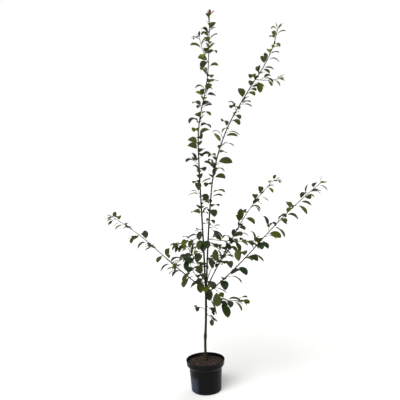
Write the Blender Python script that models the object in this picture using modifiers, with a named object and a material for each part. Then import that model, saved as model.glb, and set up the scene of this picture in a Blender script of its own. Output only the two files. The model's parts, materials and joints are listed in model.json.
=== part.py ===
"""A potted opal plum: a young grafted tree with two leading stems, in a black nursery pot.

Metres, +Z up. The origin is the centre of the pot's flat underside. The tree is seen from -Y,
with +X to its right. Bearings run anticlockwise from +X, and rises are above the level, both
in degrees. Every stem is a path that turns evenly from one heading to the next.
"""

import math
import random
from dataclasses import dataclass

import bmesh
import bpy
from mathutils import Matrix, Vector
from mathutils.bvhtree import BVHTree

# The gap between pieces that touch. Facets need a little more of it to stay clear.
SEAT = 0.0003
FACET_SEAT = SEAT * 1.3

# Pot: a tapered wall with a deep collar at its lip and a rounded heel
POT_HEIGHT = 0.195
POT_LIP_RADIUS = 0.120
POT_COLLAR_RADIUS = 0.1165
POT_COLLAR_DEPTH = 0.030
POT_SHOULDER_DEPTH = 0.046
POT_NECK_RADIUS = 0.1015
POT_BASE_RADIUS = 0.092
POT_HEEL = 0.006
HEEL_SWELL = 0.1
HEEL_TUCK = 0.6
POT_WALL = 0.0022
POT_FLOOR = 0.003
POT_SIDES = 40
DRAIN_COUNT = 8
DRAIN_WIDTH = 0.014
DRAIN_HEIGHT = 0.009
DRAIN_DEPTH = 0.012
DRAIN_INSET = 0.002

# Compost: it fills the pot to a little under the lip
SOIL_LEVEL = POT_HEIGHT - 0.020

# Trunk: a flared foot, the swelling of the graft, and a thickened fork
TRUNK_FOOT = (0.004, 0.020)
TRUNK_LENGTH = 0.53
TRUNK_HEADINGS = ((200, 87), (345, 85), (340, 88), (330, 88))
TRUNK_FOOT_RADIUS = 0.0074
TRUNK_TOP_RADIUS = 0.0064
ROOT_FLARE = 0.0058
ROOT_FLARE_REACH = 0.022
GRAFT_HEIGHT = 0.158
GRAFT_SWELLING = 0.0024
GRAFT_REACH = 0.018
FORK_SWELLING = 0.0028
FORK_REACH = 0.060
FORK_SPREAD = 0.0052

# Leaves: a short stalk and a blade that is widest past its middle. A station is
# a place along the blade and its share of the full width.
STALK_SHARE = 0.22
STALK_RADIUS = 0.0010
BLADE_HALF_WIDTH = 0.31
BLADE_THICKNESS = 0.020
BLADE_STATIONS = ((0.30, 0.86), (0.68, 0.95))

# Growth: leaves stand in a spiral, the same turn apart. Along a stem they get smaller, closer
# together and more upright, and fewer of them stand on spurs.
GROWTH_SEED = 1
PHYLLOTAXIS = 144.0
PHYLLOTAXIS_SPREAD = 14
LEAF_LEAN = (50, 68)
LEAN_LOST = 18
FIRST_GAP = (0.2, 0.6)
LEAF_GAP = (0.75, 1.2)
GAP_LOST = 0.36
FIRST_LEAF = 1.06
LEAF_LOST = 0.30
TIP_LEAF_LOST = 0.20
FIRST_DROOP = 1.10
DROOP_LOST = 0.30
SPURS_LOST = 0.5

# Chance differences from leaf to leaf, and how far a stalk hangs on a level stem
SIZE_SPREAD = (0.82, 1.10)
DROOP_SPREAD = (0.6, 1.4)
DROOP_EASE = 0.8
LEAST_FACING = 0.25
ROLL_SPREAD = 44
HANG = 0.10

# A spur: a short twig that ends in a fan of two or three slightly smaller leaves
SPUR_REACH = (0.010, 0.024)
SPUR_OVERLAP = 0.002
SPUR_COUNTS = (2, 3, 3)
SPUR_TURN_SPREAD = 20
SPUR_LEAN = 62
SPUR_OPENING = 0.85
SPUR_LEAF_SHARE = 0.84

# The tuft of small, upright leaves that ends each stem
TUFT_LENGTH = 0.008
TUFT_OVERLAP = 0.003
TUFT_LEAVES = 3
TUFT_LEAN = (14, 42)
TUFT_LEAF_SHARE = 0.50
TUFT_DROOP_SHARE = 0.35

# Path step of every stem, and the ring spacing and bevel resolution of the tubes
STEP = 0.010
STEM_RING = 0.040
BOUGH_RING = 0.040
TRUNK_RING = 0.0178
TRUNK_ROUNDNESS = 3
BOUGH_ROUNDNESS = 2
STEM_ROUNDNESS = 0
TWIG_ROUNDNESS = 0
LEAST_STEM_RADIUS = 0.0013


@dataclass
class Shoot:
    """One stem. It springs from its parent at a share of the parent's length."""

    name: str
    parent: str
    at: float
    headings: tuple
    length: float
    base: float
    tip: float = 0.0013
    bare: float = 0.0
    leaf: float = 0.080
    spacing: float = 0.063
    spurs: float = 0.22
    droop: float = 1.55
    side: float = 0.0
    twig: bool = False


# The turns of the two leading stems, from the fork to the tip
LEADER_HEADINGS = (
    (90, 88), (180, 89), (180, 89), (90, 88), (0, 74), (0, 86), (45, 86),
)
SECOND_HEADINGS = (
    (0, 86), (0, 85), (0, 83), (350, 71), (350, 57), (350, 54), (340, 77),
)

# The two leading stems, which stand side by side on the fork
LEADING = (
    Shoot(
        "leader", "trunk", 1.0, LEADER_HEADINGS, length=1.60, base=0.0049, tip=0.0015,
        bare=0.36, spacing=0.047, side=-FORK_SPREAD,
    ),
    Shoot(
        "second", "trunk", 1.0, SECOND_HEADINGS, length=1.58, base=0.0046, tip=0.0014,
        bare=0.37, spacing=0.046, side=FORK_SPREAD,
    ),
)

# Long side shoots from the top of the trunk
LONG = (
    Shoot(
        "left_long", "trunk", 0.85, ((150, 30), (150, 37), (150, 24)),
        length=0.84, base=0.0032, bare=0.11, spacing=0.060,
    ),
    Shoot(
        "right_long", "trunk", 0.80, ((330, 38), (330, 47), (330, 38)),
        length=1.00, base=0.0034, bare=0.13, spacing=0.053,
    ),
    Shoot(
        "right_inner", "trunk", 0.86, ((40, 52), (40, 48), (40, 30)),
        length=0.93, base=0.0033, bare=0.12, spacing=0.052,
    ),
)

# Shorter shoots round the fork
SHORT = (
    Shoot(
        "front_left", "trunk", 0.93, ((232, 28), (252, 44), (292, 56)),
        length=0.400, base=0.0024, droop=1.5,
    ),
    Shoot(
        "front_right", "trunk", 0.90, ((290, 20), (294, -20)),
        length=0.200, base=0.0022, leaf=0.096, spurs=0.0, droop=1.6,
    ),
    Shoot(
        "right_low", "trunk", 0.767, ((318, -20), (318, 15), (318, 5)),
        length=0.287, base=0.0021, leaf=0.082, spacing=0.046, droop=1.7,
    ),
    Shoot(
        "back_left", "trunk", 0.955, ((122, 52), (126, 35)),
        length=0.300, base=0.0022,
    ),
    Shoot(
        "back_right", "trunk", 0.905, ((66, 48), (62, 33)),
        length=0.300, base=0.0022,
    ),
)

# Side shoots on the bare feet of the two leading stems
SIDE = (
    Shoot(
        "left_middle", "leader", 0.100, ((205, -6), (205, -22)),
        length=0.190, base=0.0018, leaf=0.076, spacing=0.045, droop=1.7,
    ),
    Shoot(
        "left_upper", "leader", 0.167, ((212, -24), (212, 2)),
        length=0.200, base=0.0018, leaf=0.072, spacing=0.045,
    ),
    Shoot(
        "right_short", "second", 0.130, ((315, -4), (315, -24)),
        length=0.126, base=0.0016, leaf=0.072, spacing=0.040, droop=1.7,
    ),
    Shoot(
        "right_level", "second", 0.152, ((340, -8), (340, 6)),
        length=0.300, base=0.0019, leaf=0.074, spacing=0.045,
    ),
)

# Spurs of a few leaves, on the trunk and on the bare feet of the leading stems
SPURS = (
    Shoot(
        "low_left_spur", "trunk", 0.614, ((200, 40), (196, 10)),
        length=0.060, base=0.0016, leaf=0.044, spacing=0.024,
    ),
    Shoot(
        "low_right_spur", "trunk", 0.576, ((325, -30), (325, -42)),
        length=0.050, base=0.0016, leaf=0.056, spacing=0.028,
    ),
    Shoot(
        "front_spur", "trunk", 0.670, ((300, -10), (304, -25)),
        length=0.070, base=0.0016, leaf=0.052, spacing=0.030,
    ),
    Shoot(
        "leader_low_spur", "leader", 0.140, ((236, 10), (236, -30)),
        length=0.030, base=0.0016, leaf=0.082, spacing=0.014, droop=2.4,
    ),
    Shoot(
        "leader_mid_spur", "leader", 0.186, ((222, 20), (222, 0)),
        length=0.026, base=0.0016, leaf=0.060, spacing=0.016,
    ),
    Shoot(
        "leader_right_spur", "leader", 0.208, ((345, 14), (345, -6)),
        length=0.030, base=0.0016, leaf=0.080, spacing=0.022,
    ),
    Shoot(
        "second_low_spur", "second", 0.196, ((335, 20), (335, 0)),
        length=0.030, base=0.0016, leaf=0.080, spacing=0.022,
    ),
    Shoot(
        "second_back_spur", "second", 0.070, ((60, 30), (60, 0)),
        length=0.030, base=0.0016, leaf=0.070, spacing=0.022,
    ),
)

# Twigs that are fused into the heads of the two leading stems
TWIGS = (
    Shoot(
        "leader_twig", "leader", 0.823, ((160, 64), (160, 80)),
        length=0.166, base=0.0016, leaf=0.066, spacing=0.036, twig=True,
    ),
    Shoot(
        "second_twig", "second", 0.800, ((340, -16), (340, 8)),
        length=0.140, base=0.0015, leaf=0.066, spacing=0.034, twig=True,
    ),
)
SHOOTS = LEADING + LONG + SHORT + SIDE + SPURS + TWIGS


@dataclass
class Leaf:
    """One leaf: its root on a stem's axis, the way its stalk leaves, and the size of its blade."""

    root: Vector
    way: Vector
    length: float
    roll: float
    droop: float
    depth: float


def heading(bearing, rise):
    """The unit vector of a bearing and a rise."""
    level = math.cos(math.radians(rise))
    east = level * math.cos(math.radians(bearing))
    north = level * math.sin(math.radians(bearing))
    return Vector((east, north, math.sin(math.radians(rise))))


def ways_of(headings):
    """The unit vectors of several headings."""
    return [heading(*pair) for pair in headings]


class Stem:
    """The path of a stem, with its radius along it. It turns evenly through the ways given."""

    def __init__(self, start, ways, length, base, tip, swellings=()):
        self.length = length
        self.base = base
        self.tip = tip
        self.swellings = swellings
        steps = max(4, round(length / STEP))
        self.step = length / steps
        self.points = [Vector(start)]
        for index in range(steps):
            share = (index + 0.5) / steps * (len(ways) - 1)
            first = min(int(share), len(ways) - 2)
            way = ways[first].lerp(ways[first + 1], share - first).normalized()
            self.points.append(self.points[-1] + way * self.step)

    def point(self, along):
        """The place on the axis, that far along."""
        place = min(max(along / self.step, 0.0), len(self.points) - 1.0)
        first = min(int(place), len(self.points) - 2)
        return self.points[first].lerp(self.points[first + 1], place - first)

    def way(self, along):
        """The direction of growth, that far along."""
        ahead = self.point(min(along + self.step, self.length))
        behind = self.point(max(along - self.step, 0.0))
        return (ahead - behind).normalized()

    def radius(self, along):
        """The taper, with any swellings."""
        plain = self.base + (self.tip - self.base) * along / self.length
        for place, extra, reach in self.swellings:
            plain += extra * math.exp(-(((along - place) / reach) ** 2))
        return plain


def trunk_stem():
    """The trunk's path, from the compost to the fork."""
    swellings = (
        (0.0, ROOT_FLARE, ROOT_FLARE_REACH),
        (GRAFT_HEIGHT, GRAFT_SWELLING, GRAFT_REACH),
        (TRUNK_LENGTH, FORK_SWELLING, FORK_REACH),
    )
    start = (*TRUNK_FOOT, SOIL_LEVEL + SEAT)
    ways = ways_of(TRUNK_HEADINGS)
    return Stem(start, ways, TRUNK_LENGTH, TRUNK_FOOT_RADIUS, TRUNK_TOP_RADIUS, swellings)


def all_stems():
    """Every stem by its name, each grown from its parent."""
    stems = {"trunk": trunk_stem()}
    for shoot in SHOOTS:
        parent = stems[shoot.parent]
        start = parent.point(shoot.at * parent.length) + Vector((shoot.side, 0, 0))
        ways = ways_of(shoot.headings)
        if shoot.at == 1.0:
            start += ways[0] * SEAT * 2
        stems[shoot.name] = Stem(start, ways, shoot.length, shoot.base, shoot.tip)
    return stems


def across(way):
    """Two unit vectors square to a direction: one level, and one as far up as it can be."""
    level = way.cross(Vector((0, 0, 1)))
    if level.length < 0.05:
        level = Vector((1, 0, 0)) - way * way.x
    level.normalize()
    return level, level.cross(way).normalized()


def sprout(stem, along, azimuth, lean):
    """A direction that leaves the stem at an azimuth round it, leaning away from its growth."""
    way = stem.way(along)
    side = Vector((0, 1, 0)).cross(way).normalized()
    front = way.cross(side)
    out = side * math.cos(math.radians(azimuth)) + front * math.sin(math.radians(azimuth))
    grown = way * math.cos(math.radians(lean)) + out * math.sin(math.radians(lean))
    grown.z -= HANG * math.hypot(way.x, way.y)
    return grown.normalized()


def new_leaf(root, way, length, droop, depth, dice):
    """A leaf with its own small differences in size, roll and droop."""
    size = length * dice.uniform(*SIZE_SPREAD)
    roll = dice.gauss(0, ROLL_SPREAD)
    leaf = Leaf(root, way.normalized(), size, roll, droop * dice.uniform(*DROOP_SPREAD), depth)
    while folds(leaf):
        leaf.droop *= DROOP_EASE
    return leaf


def leaves_on(shoot, stem):
    """The rule of growth: (leaves, spur twigs) along one stem. A shoot's name sets its dice."""
    dice = random.Random(f"{GROWTH_SEED} {shoot.name}")
    last = shoot.length - TUFT_LENGTH
    leaves, twigs = stretch_of_leaves(shoot, stem, shoot.bare, last, dice)
    end = stem.point(stem.length - TUFT_OVERLAP)
    azimuth = dice.uniform(0, 360)
    length = shoot.leaf * TUFT_LEAF_SHARE
    droop = shoot.droop * TUFT_DROOP_SHARE
    for index in range(TUFT_LEAVES):
        turn = azimuth + 360 * index / TUFT_LEAVES
        way = sprout(stem, stem.length, turn, dice.uniform(*TUFT_LEAN))
        leaves.append(new_leaf(end, way, length, droop, 0.0, dice))
    return leaves, twigs


def stretch_of_leaves(shoot, stem, start, end, dice):
    """One stretch of growth: leaves and spurs in a spiral, smaller and closer towards the tip."""
    leaves = []
    twigs = []
    azimuth = dice.uniform(0, 360)
    along = start + shoot.spacing * dice.uniform(*FIRST_GAP)
    while along < end:
        share = along / shoot.length
        azimuth += PHYLLOTAXIS + dice.gauss(0, PHYLLOTAXIS_SPREAD)
        length = shoot.leaf * (FIRST_LEAF - LEAF_LOST * share**2 - TIP_LEAF_LOST * share**10)
        lean = dice.uniform(*LEAF_LEAN) - LEAN_LOST * share
        way = sprout(stem, along, azimuth, lean)
        root = stem.point(along)
        depth = stem.radius(along)
        droop = shoot.droop * (FIRST_DROOP - DROOP_LOST * share)
        if dice.random() < shoot.spurs * (1 - SPURS_LOST * share):
            reach = depth + dice.uniform(*SPUR_REACH)
            tip = root + way * (reach - SPUR_OVERLAP)
            twigs.append(Stem(root, (way, way), reach, LEAST_STEM_RADIUS, LEAST_STEM_RADIUS))
            count = dice.choice(SPUR_COUNTS)
            for index in range(count):
                turn = azimuth + index * 360 / count + dice.gauss(0, SPUR_TURN_SPREAD)
                fan = way + sprout(stem, along, turn, SPUR_LEAN) * SPUR_OPENING
                leaves.append(new_leaf(tip, fan, length * SPUR_LEAF_SHARE, droop, 0.0, dice))
        else:
            leaves.append(new_leaf(root, way, length, droop, depth, dice))
        along += shoot.spacing * dice.uniform(*LEAF_GAP) * (1 - GAP_LOST * share)
    return leaves, twigs


def leaf_sections(leaf, swell=0.0):
    """The triangular sections of a leaf, root first, as (left, right, keel) points."""
    level, up = across(leaf.way)
    turn = Matrix.Rotation(math.radians(leaf.roll), 3, leaf.way)
    level = turn @ level
    keel_side = -1.0 if (turn @ up).z > 0 else 1.0
    stalk = leaf.length * STALK_SHARE + leaf.depth
    thick = leaf.length * BLADE_THICKNESS + swell
    stalk_half = STALK_RADIUS + swell
    sections = []
    place = leaf.root.copy()
    for run, half, depth in ((0.0, stalk_half, stalk_half), (stalk, stalk_half, stalk_half)):
        place = place + leaf.way * run
        sections.append(section(place, leaf.way, level, half, depth * keel_side))
    before = 0.0
    for share, width in BLADE_STATIONS + ((1.0, 0.0),):
        middle = (share + before) / 2
        way = (leaf.way + Vector((0, 0, -1)) * leaf.droop * middle).normalized()
        place = place + way * leaf.length * (share - before)
        half = leaf.length * BLADE_HALF_WIDTH * width + swell
        sections.append(section(place, way, level, half, thick * keel_side))
        before = share
    return sections


def facing(triple, way):
    """The cosine between a section's own direction and another one."""
    left, right, keel = triple
    return (right - left).cross(keel - left).normalized().dot(way)


def folds(leaf):
    """Whether a leaf bends so sharply that its blade would pass through itself."""
    sections = leaf_sections(leaf)
    forward = facing(sections[0], leaf.way)
    for near, far in zip(sections[1:], sections[2:]):
        run = ((far[0] + far[1]) - (near[0] + near[1])).normalized()
        rims = [(far[corner] - near[corner]).dot(run) for corner in range(3)]
        if min(rims) < 0 or facing(near, run) * forward < LEAST_FACING:
            return True
        if far is not sections[-1] and facing(far, run) * forward < LEAST_FACING:
            return True
    return False


def section(place, way, level, half, depth):
    """One triangle across a leaf: flat on one face, with the rib as a keel on the other."""
    side = (level - way * level.dot(way)).normalized()
    keel = place + side.cross(way) * depth
    return (place - side * half, place + side * half, keel)


def bulging(points, quad, heart):
    """Two triangles over four corners, creased along the diagonal that lies further from the heart."""
    near, beside, far, last = quad
    a, b, c, d = (points[corner] for corner in quad)
    outward = (b - c).cross(a - d)
    if outward.dot((a + b + c + d) / 4 - heart) < 0:
        outward.negate()
    if (b + c - a - d).dot(outward) > 0:
        return [(near, far, beside), (beside, far, last)]
    return [(near, far, last), (near, last, beside)]


def leaf_shape(leaf, swell=0.0, from_section=0):
    """(points, faces) of a closed leaf. Its last section closes to the tip."""
    sections = leaf_sections(leaf, swell)[from_section:]
    tip = (sections[-1][0] + sections[-1][1]) / 2
    sections = sections[:-1]
    points = [corner for triple in sections for corner in triple] + [tip]
    last = len(points) - 1
    faces = [(0, 1, 2)]
    for ring in range(len(sections) - 1):
        heart = sum(points[ring * 3 : ring * 3 + 6], Vector()) / 6
        for corner in range(3):
            near = ring * 3 + corner
            beside = ring * 3 + (corner + 1) % 3
            faces += bulging(points, (near, beside, near + 3, beside + 3), heart)
    ring = (len(sections) - 1) * 3
    for corner in range(3):
        faces.append((ring + corner, last, ring + (corner + 1) % 3))
    return points, faces


def tree_of(shape):
    """A search tree of a shape, to test it against others."""
    points, faces = shape
    return BVHTree.FromPolygons(points, faces)


def material(name, colour, roughness):
    """A plain Principled material."""
    made = bpy.data.materials.new(name)
    made.use_nodes = True
    shader = made.node_tree.nodes["Principled BSDF"]
    shader.inputs["Base Color"].default_value = (*colour, 1)
    shader.inputs["Roughness"].default_value = roughness
    return made


def put(name, mesh, finish, group):
    """A new object with this mesh, in a collection."""
    piece = bpy.data.objects.new(name, mesh)
    if finish:
        piece.data.materials.clear()
        piece.data.materials.append(finish)
    group.objects.link(piece)
    return piece


def evaluated_mesh(piece):
    """The mesh of an object with its modifiers, or of a curve with its bevel."""
    bpy.context.view_layer.update()
    graph = bpy.context.evaluated_depsgraph_get()
    return bpy.data.meshes.new_from_object(piece.evaluated_get(graph))


def tidy_faces(mesh):
    """Merges doubled points and turns the faces outwards."""
    shape = bmesh.new()
    shape.from_mesh(mesh)
    bmesh.ops.remove_doubles(shape, verts=shape.verts, dist=1e-6)
    bmesh.ops.recalc_face_normals(shape, faces=shape.faces)
    if shape.calc_volume(signed=True) < 0:
        bmesh.ops.reverse_faces(shape, faces=shape.faces)
    shape.to_mesh(mesh)
    shape.free()


def tube_mesh(name, stem, start, end, ring, resolution, grown=0.0):
    """The solid of a stretch of a stem: a curve with a bevel and filled caps, made a mesh."""
    curve = bpy.data.curves.new(name, "CURVE")
    curve.dimensions = "3D"
    curve.bevel_depth = 1.0
    curve.bevel_resolution = resolution
    curve.use_fill_caps = True
    spline = curve.splines.new("POLY")
    rings = max(2, math.ceil((end - start) / ring) + 1)
    spline.points.add(rings - 1)
    for index in range(rings):
        along = start + (end - start) * index / (rings - 1)
        spline.points[index].co = (*stem.point(along), 1)
        spline.points[index].radius = stem.radius(along) + grown
    holder = bpy.data.objects.new(name, curve)
    bpy.context.scene.collection.objects.link(holder)
    mesh = evaluated_mesh(holder)
    bpy.data.objects.remove(holder)
    tidy_faces(mesh)
    return mesh


def shape_mesh(name, shape):
    """A mesh of points and faces, facing outwards."""
    mesh = bpy.data.meshes.new(name)
    mesh.from_pydata(shape[0], [], shape[1])
    tidy_faces(mesh)
    return mesh


def bodies_of(shape):
    """The bodies of a bmesh, smallest first, each as a set of faces that share edges."""
    left = set(shape.faces)
    bodies = []
    while left:
        body = {left.pop()}
        border = list(body)
        while border:
            face = border.pop()
            beside = {other for edge in face.edges for other in edge.link_faces} - body
            body |= beside
            border += beside
        left -= body
        bodies.append(body)
    return sorted(bodies, key=len)


def is_whole(mesh):
    """Whether a mesh is one closed body."""
    shape = bmesh.new()
    shape.from_mesh(mesh)
    whole = all(edge.is_manifold for edge in shape.edges) and len(bodies_of(shape)) == 1
    shape.free()
    return whole


def keep_largest(mesh):
    """Drops the loose scraps and sealed hollows of a mesh, and leaves its largest body."""
    shape = bmesh.new()
    shape.from_mesh(mesh)
    bodies = bodies_of(shape)
    scraps = [face for body in bodies[:-1] for face in body]
    bmesh.ops.delete(shape, geom=scraps, context="FACES")
    shape.to_mesh(mesh)
    shape.free()
    return len(bodies) - 1


def boolean(piece, operation, others, group):
    """Applies one Boolean of the others to the piece, then removes them."""
    for solver in ("EXACT", "MANIFOLD"):
        step = piece.modifiers.new(operation, "BOOLEAN")
        step.operation = operation
        step.operand_type = "COLLECTION"
        step.collection = group
        step.solver = solver
        mesh = evaluated_mesh(piece)
        piece.modifiers.clear()
        tidy_faces(mesh)
        if is_whole(mesh):
            break
    piece.data = mesh
    for other in others:
        bpy.data.objects.remove(other)


def cut_base(piece, sleeve, cutters):
    """Cuts the foot of a stem to the surface that it springs from, a seat's gap clear."""
    cutter = put(piece.name + "_sleeve", sleeve, None, cutters)
    boolean(piece, "DIFFERENCE", [cutter], cutters)
    keep_largest(piece.data)


def tube_shape(stem, start, end, margin):
    """(points, faces) of a six-sided skin round a stretch of a stem, for tests only."""
    count = max(2, math.ceil((end - start) / STEP) + 1)
    points = []
    for index in range(count):
        along = start + (end - start) * index / (count - 1)
        level, up = across(stem.way(along))
        radius = (stem.radius(along) + margin) * 1.1
        for corner in range(6):
            turn = math.tau * corner / 6
            points.append(stem.point(along) + (level * math.cos(turn) + up * math.sin(turn)) * radius)
    faces = []
    for ring in range(count - 1):
        for corner in range(6):
            near = ring * 6 + corner
            beside = ring * 6 + (corner + 1) % 6
            faces.append((near, beside, beside + 6, near + 6))
    return points, faces


class Space:
    """The room that is taken: stems first, then every leaf and twig that found a place."""

    def __init__(self, stems, margin):
        self.margin = margin
        self.stems = {}
        self.leaves = []
        for name, stem in stems.items():
            foot = 0.0 if name == "trunk" else 0.006
            self.stems[name] = tree_of(tube_shape(stem, foot, stem.length, margin))

    def free(self, owner, whole, blade):
        """Whether a leaf clears every stem and every leaf. Near its own root only the blade counts."""
        for name, tree in self.stems.items():
            tested = blade if name in owner else whole
            if tested.overlap(tree):
                return False
        for name, other_whole, other_blade in self.leaves:
            if name == owner and blade.overlap(other_blade):
                return False
            if name != owner and whole.overlap(other_whole):
                return False
        return True

    def take(self, owner, leaf):
        """Keeps the room of a leaf."""
        whole = tree_of(leaf_shape(leaf, self.margin))
        blade = tree_of(leaf_shape(leaf, self.margin, 1))
        self.leaves.append((owner, whole, blade))


def clear_scene():
    """Removes what the file held."""
    for piece in list(bpy.data.objects):
        bpy.data.objects.remove(piece)


def new_group(name):
    """A new collection in the scene."""
    group = bpy.data.collections.new(name)
    bpy.context.scene.collection.children.link(group)
    return group


def screw(name, profile, finish, group):
    """A turned solid: a profile from one point of the axis to another, all the way round."""
    mesh = bpy.data.meshes.new(name)
    points = [(radius, 0, height) for radius, height in profile]
    mesh.from_pydata(points, [(index, index + 1) for index in range(len(points) - 1)], [])
    piece = put(name, mesh, finish, group)
    turn = piece.modifiers.new("turn", "SCREW")
    turn.steps = POT_SIDES
    turn.render_steps = POT_SIDES
    turn.use_merge_vertices = True
    turn.merge_threshold = 0.00005
    piece.data = evaluated_mesh(piece)
    piece.modifiers.clear()
    tidy_faces(piece.data)
    piece.data.shade_smooth()
    piece.data.set_sharp_from_angle(angle=math.radians(35))
    return piece


def inner_radius(height):
    """The radius of the pot's inside, at a height below its collar."""
    neck = POT_HEIGHT - POT_SHOULDER_DEPTH
    outside = POT_BASE_RADIUS + (POT_NECK_RADIUS - POT_BASE_RADIUS) * height / neck
    return outside - POT_WALL


def pot(finish, group, cutters):
    """The pot: floor, wall, shoulder and collar in one shell, with drain holes at its heel."""
    neck = POT_HEIGHT - POT_SHOULDER_DEPTH
    collar = POT_HEIGHT - POT_COLLAR_DEPTH
    inside = (
        (0.0, POT_FLOOR),
        (inner_radius(POT_FLOOR), POT_FLOOR),
        (inner_radius(neck), neck),
        (POT_COLLAR_RADIUS - POT_WALL, collar),
        (POT_LIP_RADIUS - POT_WALL, POT_HEIGHT),
    )
    outside = (
        (POT_LIP_RADIUS, POT_HEIGHT),
        (POT_COLLAR_RADIUS, collar - POT_WALL),
        (POT_NECK_RADIUS, neck - POT_WALL),
        (POT_BASE_RADIUS + POT_HEEL * HEEL_SWELL, POT_HEEL),
        (POT_BASE_RADIUS - POT_HEEL * HEEL_TUCK, 0.0),
        (0.0, 0.0),
    )
    piece = screw("pot", inside + outside, finish, group)
    drains = []
    drain_middle = DRAIN_HEIGHT / 2 + POT_FLOOR + SEAT * 2
    for index in range(DRAIN_COUNT):
        turn = Matrix.Rotation(math.tau * (index + 0.5) / DRAIN_COUNT, 4, "Z")
        place = turn @ Matrix.Translation((POT_BASE_RADIUS - DRAIN_INSET, 0, drain_middle))
        shape = bmesh.new()
        bmesh.ops.create_cube(shape, size=1.0)
        shape.transform(place @ Matrix.Diagonal((DRAIN_DEPTH, DRAIN_WIDTH, DRAIN_HEIGHT, 1)))
        mesh = bpy.data.meshes.new("drain")
        shape.to_mesh(mesh)
        shape.free()
        drains.append(put("drain", mesh, None, cutters))
    boolean(piece, "DIFFERENCE", drains, cutters)
    return piece


def soil(finish, group):
    """The compost: one plug that fills the pot, a seat's gap clear of it."""
    clear = FACET_SEAT
    neck = POT_HEIGHT - POT_SHOULDER_DEPTH
    collar = POT_HEIGHT - POT_COLLAR_DEPTH
    share = (SOIL_LEVEL - collar) / (POT_HEIGHT - collar)
    top_radius = POT_COLLAR_RADIUS + (POT_LIP_RADIUS - POT_COLLAR_RADIUS) * share - POT_WALL
    profile = (
        (0.0, SOIL_LEVEL),
        (top_radius - clear, SOIL_LEVEL),
        (POT_COLLAR_RADIUS - POT_WALL - clear, collar),
        (inner_radius(neck) - clear, neck),
        (inner_radius(POT_FLOOR) - clear, POT_FLOOR + SEAT),
        (0.0, POT_FLOOR + SEAT),
    )
    return screw("soil", profile, finish, group)


def trunk(stem, finish, group):
    """The trunk, from its flat foot on the compost to the fork."""
    mesh = tube_mesh("trunk", stem, 0.0, stem.length, TRUNK_RING, TRUNK_ROUNDNESS)
    piece = put("trunk", mesh, finish, group)
    foot = SOIL_LEVEL + SEAT
    shape = bmesh.new()
    shape.from_mesh(piece.data)
    lowest = [vertex for vertex in shape.verts if vertex.co.z < foot + TRUNK_RING / 2]
    for vertex in lowest:
        vertex.co.z = foot
    shape.to_mesh(piece.data)
    shape.free()
    return piece


def bough(shoot, stem, parent_sleeve, finish, group, cutters):
    """The bare, tapering foot of a shoot."""
    name = shoot.name + "_bough"
    mesh = tube_mesh(name, stem, 0.0, shoot.bare, BOUGH_RING, BOUGH_ROUNDNESS)
    piece = put(name, mesh, finish, group)
    if shoot.at < 1.0:
        cut_base(piece, parent_sleeve, cutters)
    piece.data.shade_smooth()
    return piece


def foliage(shoot, stems, parent_sleeve, space, finish, group, cutters):
    """One mass of leaves: its stem, its twigs and its leaves, joined into one solid."""
    own = [shoot] + [other for other in SHOOTS if other.twig and other.parent == shoot.name]
    owner = tuple(member.name for member in own)
    stem = stems[shoot.name]
    start = shoot.bare + SEAT * 1.4 if shoot.bare else 0.0
    name = shoot.name + "_foliage"
    ring = min(STEM_RING, stem.length / 2)
    mesh = tube_mesh(name, stem, start, stem.length, ring, STEM_ROUNDNESS)
    piece = put(name, mesh, finish, group)
    if not shoot.bare:
        cut_base(piece, parent_sleeve, cutters)
    joined = []
    placed = 0
    for member in own:
        if member is not shoot:
            branch = stems[member.name]
            mesh = tube_mesh("twig", branch, 0.0, branch.length, STEM_RING, STEM_ROUNDNESS)
            joined.append(put("twig", mesh, None, cutters))
        leaves, twigs = leaves_on(member, stems[member.name])
        for twig in twigs:
            mesh = tube_mesh("twig", twig, 0.0, twig.length, STEM_RING, TWIG_ROUNDNESS)
            joined.append(put("twig", mesh, None, cutters))
        for leaf in leaves:
            shape = leaf_shape(leaf)
            if space.free(owner, tree_of(shape), tree_of(leaf_shape(leaf, 0.0, 1))):
                space.take(owner, leaf)
                joined.append(put("leaf", shape_mesh("leaf", shape), None, cutters))
                placed += 1
    boolean(piece, "UNION", joined, cutters)
    scraps = keep_largest(piece.data)
    print(name, "leaves", placed, "scraps", scraps, "faces", len(piece.data.polygons))
    return piece


def parent_sleeves(stems):
    """The skins of the stems that others spring from, a seat's gap outside them."""
    trunk_path = stems["trunk"]
    skin = tube_mesh("sleeve", trunk_path, 0.0, trunk_path.length, TRUNK_RING, TRUNK_ROUNDNESS, FACET_SEAT)
    sleeves = {"trunk": skin}
    for shoot in LEADING:
        stem = stems[shoot.name]
        skin = tube_mesh("sleeve", stem, 0.0, shoot.bare, BOUGH_RING, BOUGH_ROUNDNESS, FACET_SEAT)
        sleeves[shoot.name] = skin
    return sleeves


def main():
    clear_scene()
    group = new_group("potted_opal_plum_tree")
    cutters = new_group("cutters")
    bark = material("bark", (0.085, 0.060, 0.050), 0.75)
    green = material("leaf_green", (0.085, 0.130, 0.035), 0.55)
    plastic = material("pot_plastic", (0.012, 0.013, 0.015), 0.35)
    compost = material("compost", (0.045, 0.030, 0.022), 0.95)

    pot(plastic, group, cutters)
    soil(compost, group)
    stems = all_stems()
    trunk(stems["trunk"], bark, group)
    sleeves = parent_sleeves(stems)
    space = Space(stems, SEAT * 2)
    for shoot in SHOOTS:
        if shoot.twig:
            continue
        sleeve = sleeves.get(shoot.parent)
        if shoot.bare:
            bough(shoot, stems[shoot.name], sleeve.copy(), bark, group, cutters)
        foliage(shoot, stems, sleeve.copy(), space, green, group, cutters)


main()
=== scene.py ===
# %% [markdown]
# # A potted opal plum, from frame to finish
#
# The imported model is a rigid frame: a pot, its compost, a trunk, five main boughs, and masses of
# plain leaves. This lesson dresses that frame. Nothing moves, so every piece rides on one body.
# We load the frame first and keep its box, because the finished tree has to fit inside it.

# %% Load the frame
import json
import math
import random
from dataclasses import dataclass, replace

import bmesh
import bpy
from mathutils import Matrix, Vector
from mathutils.bvhtree import BVHTree

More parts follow.
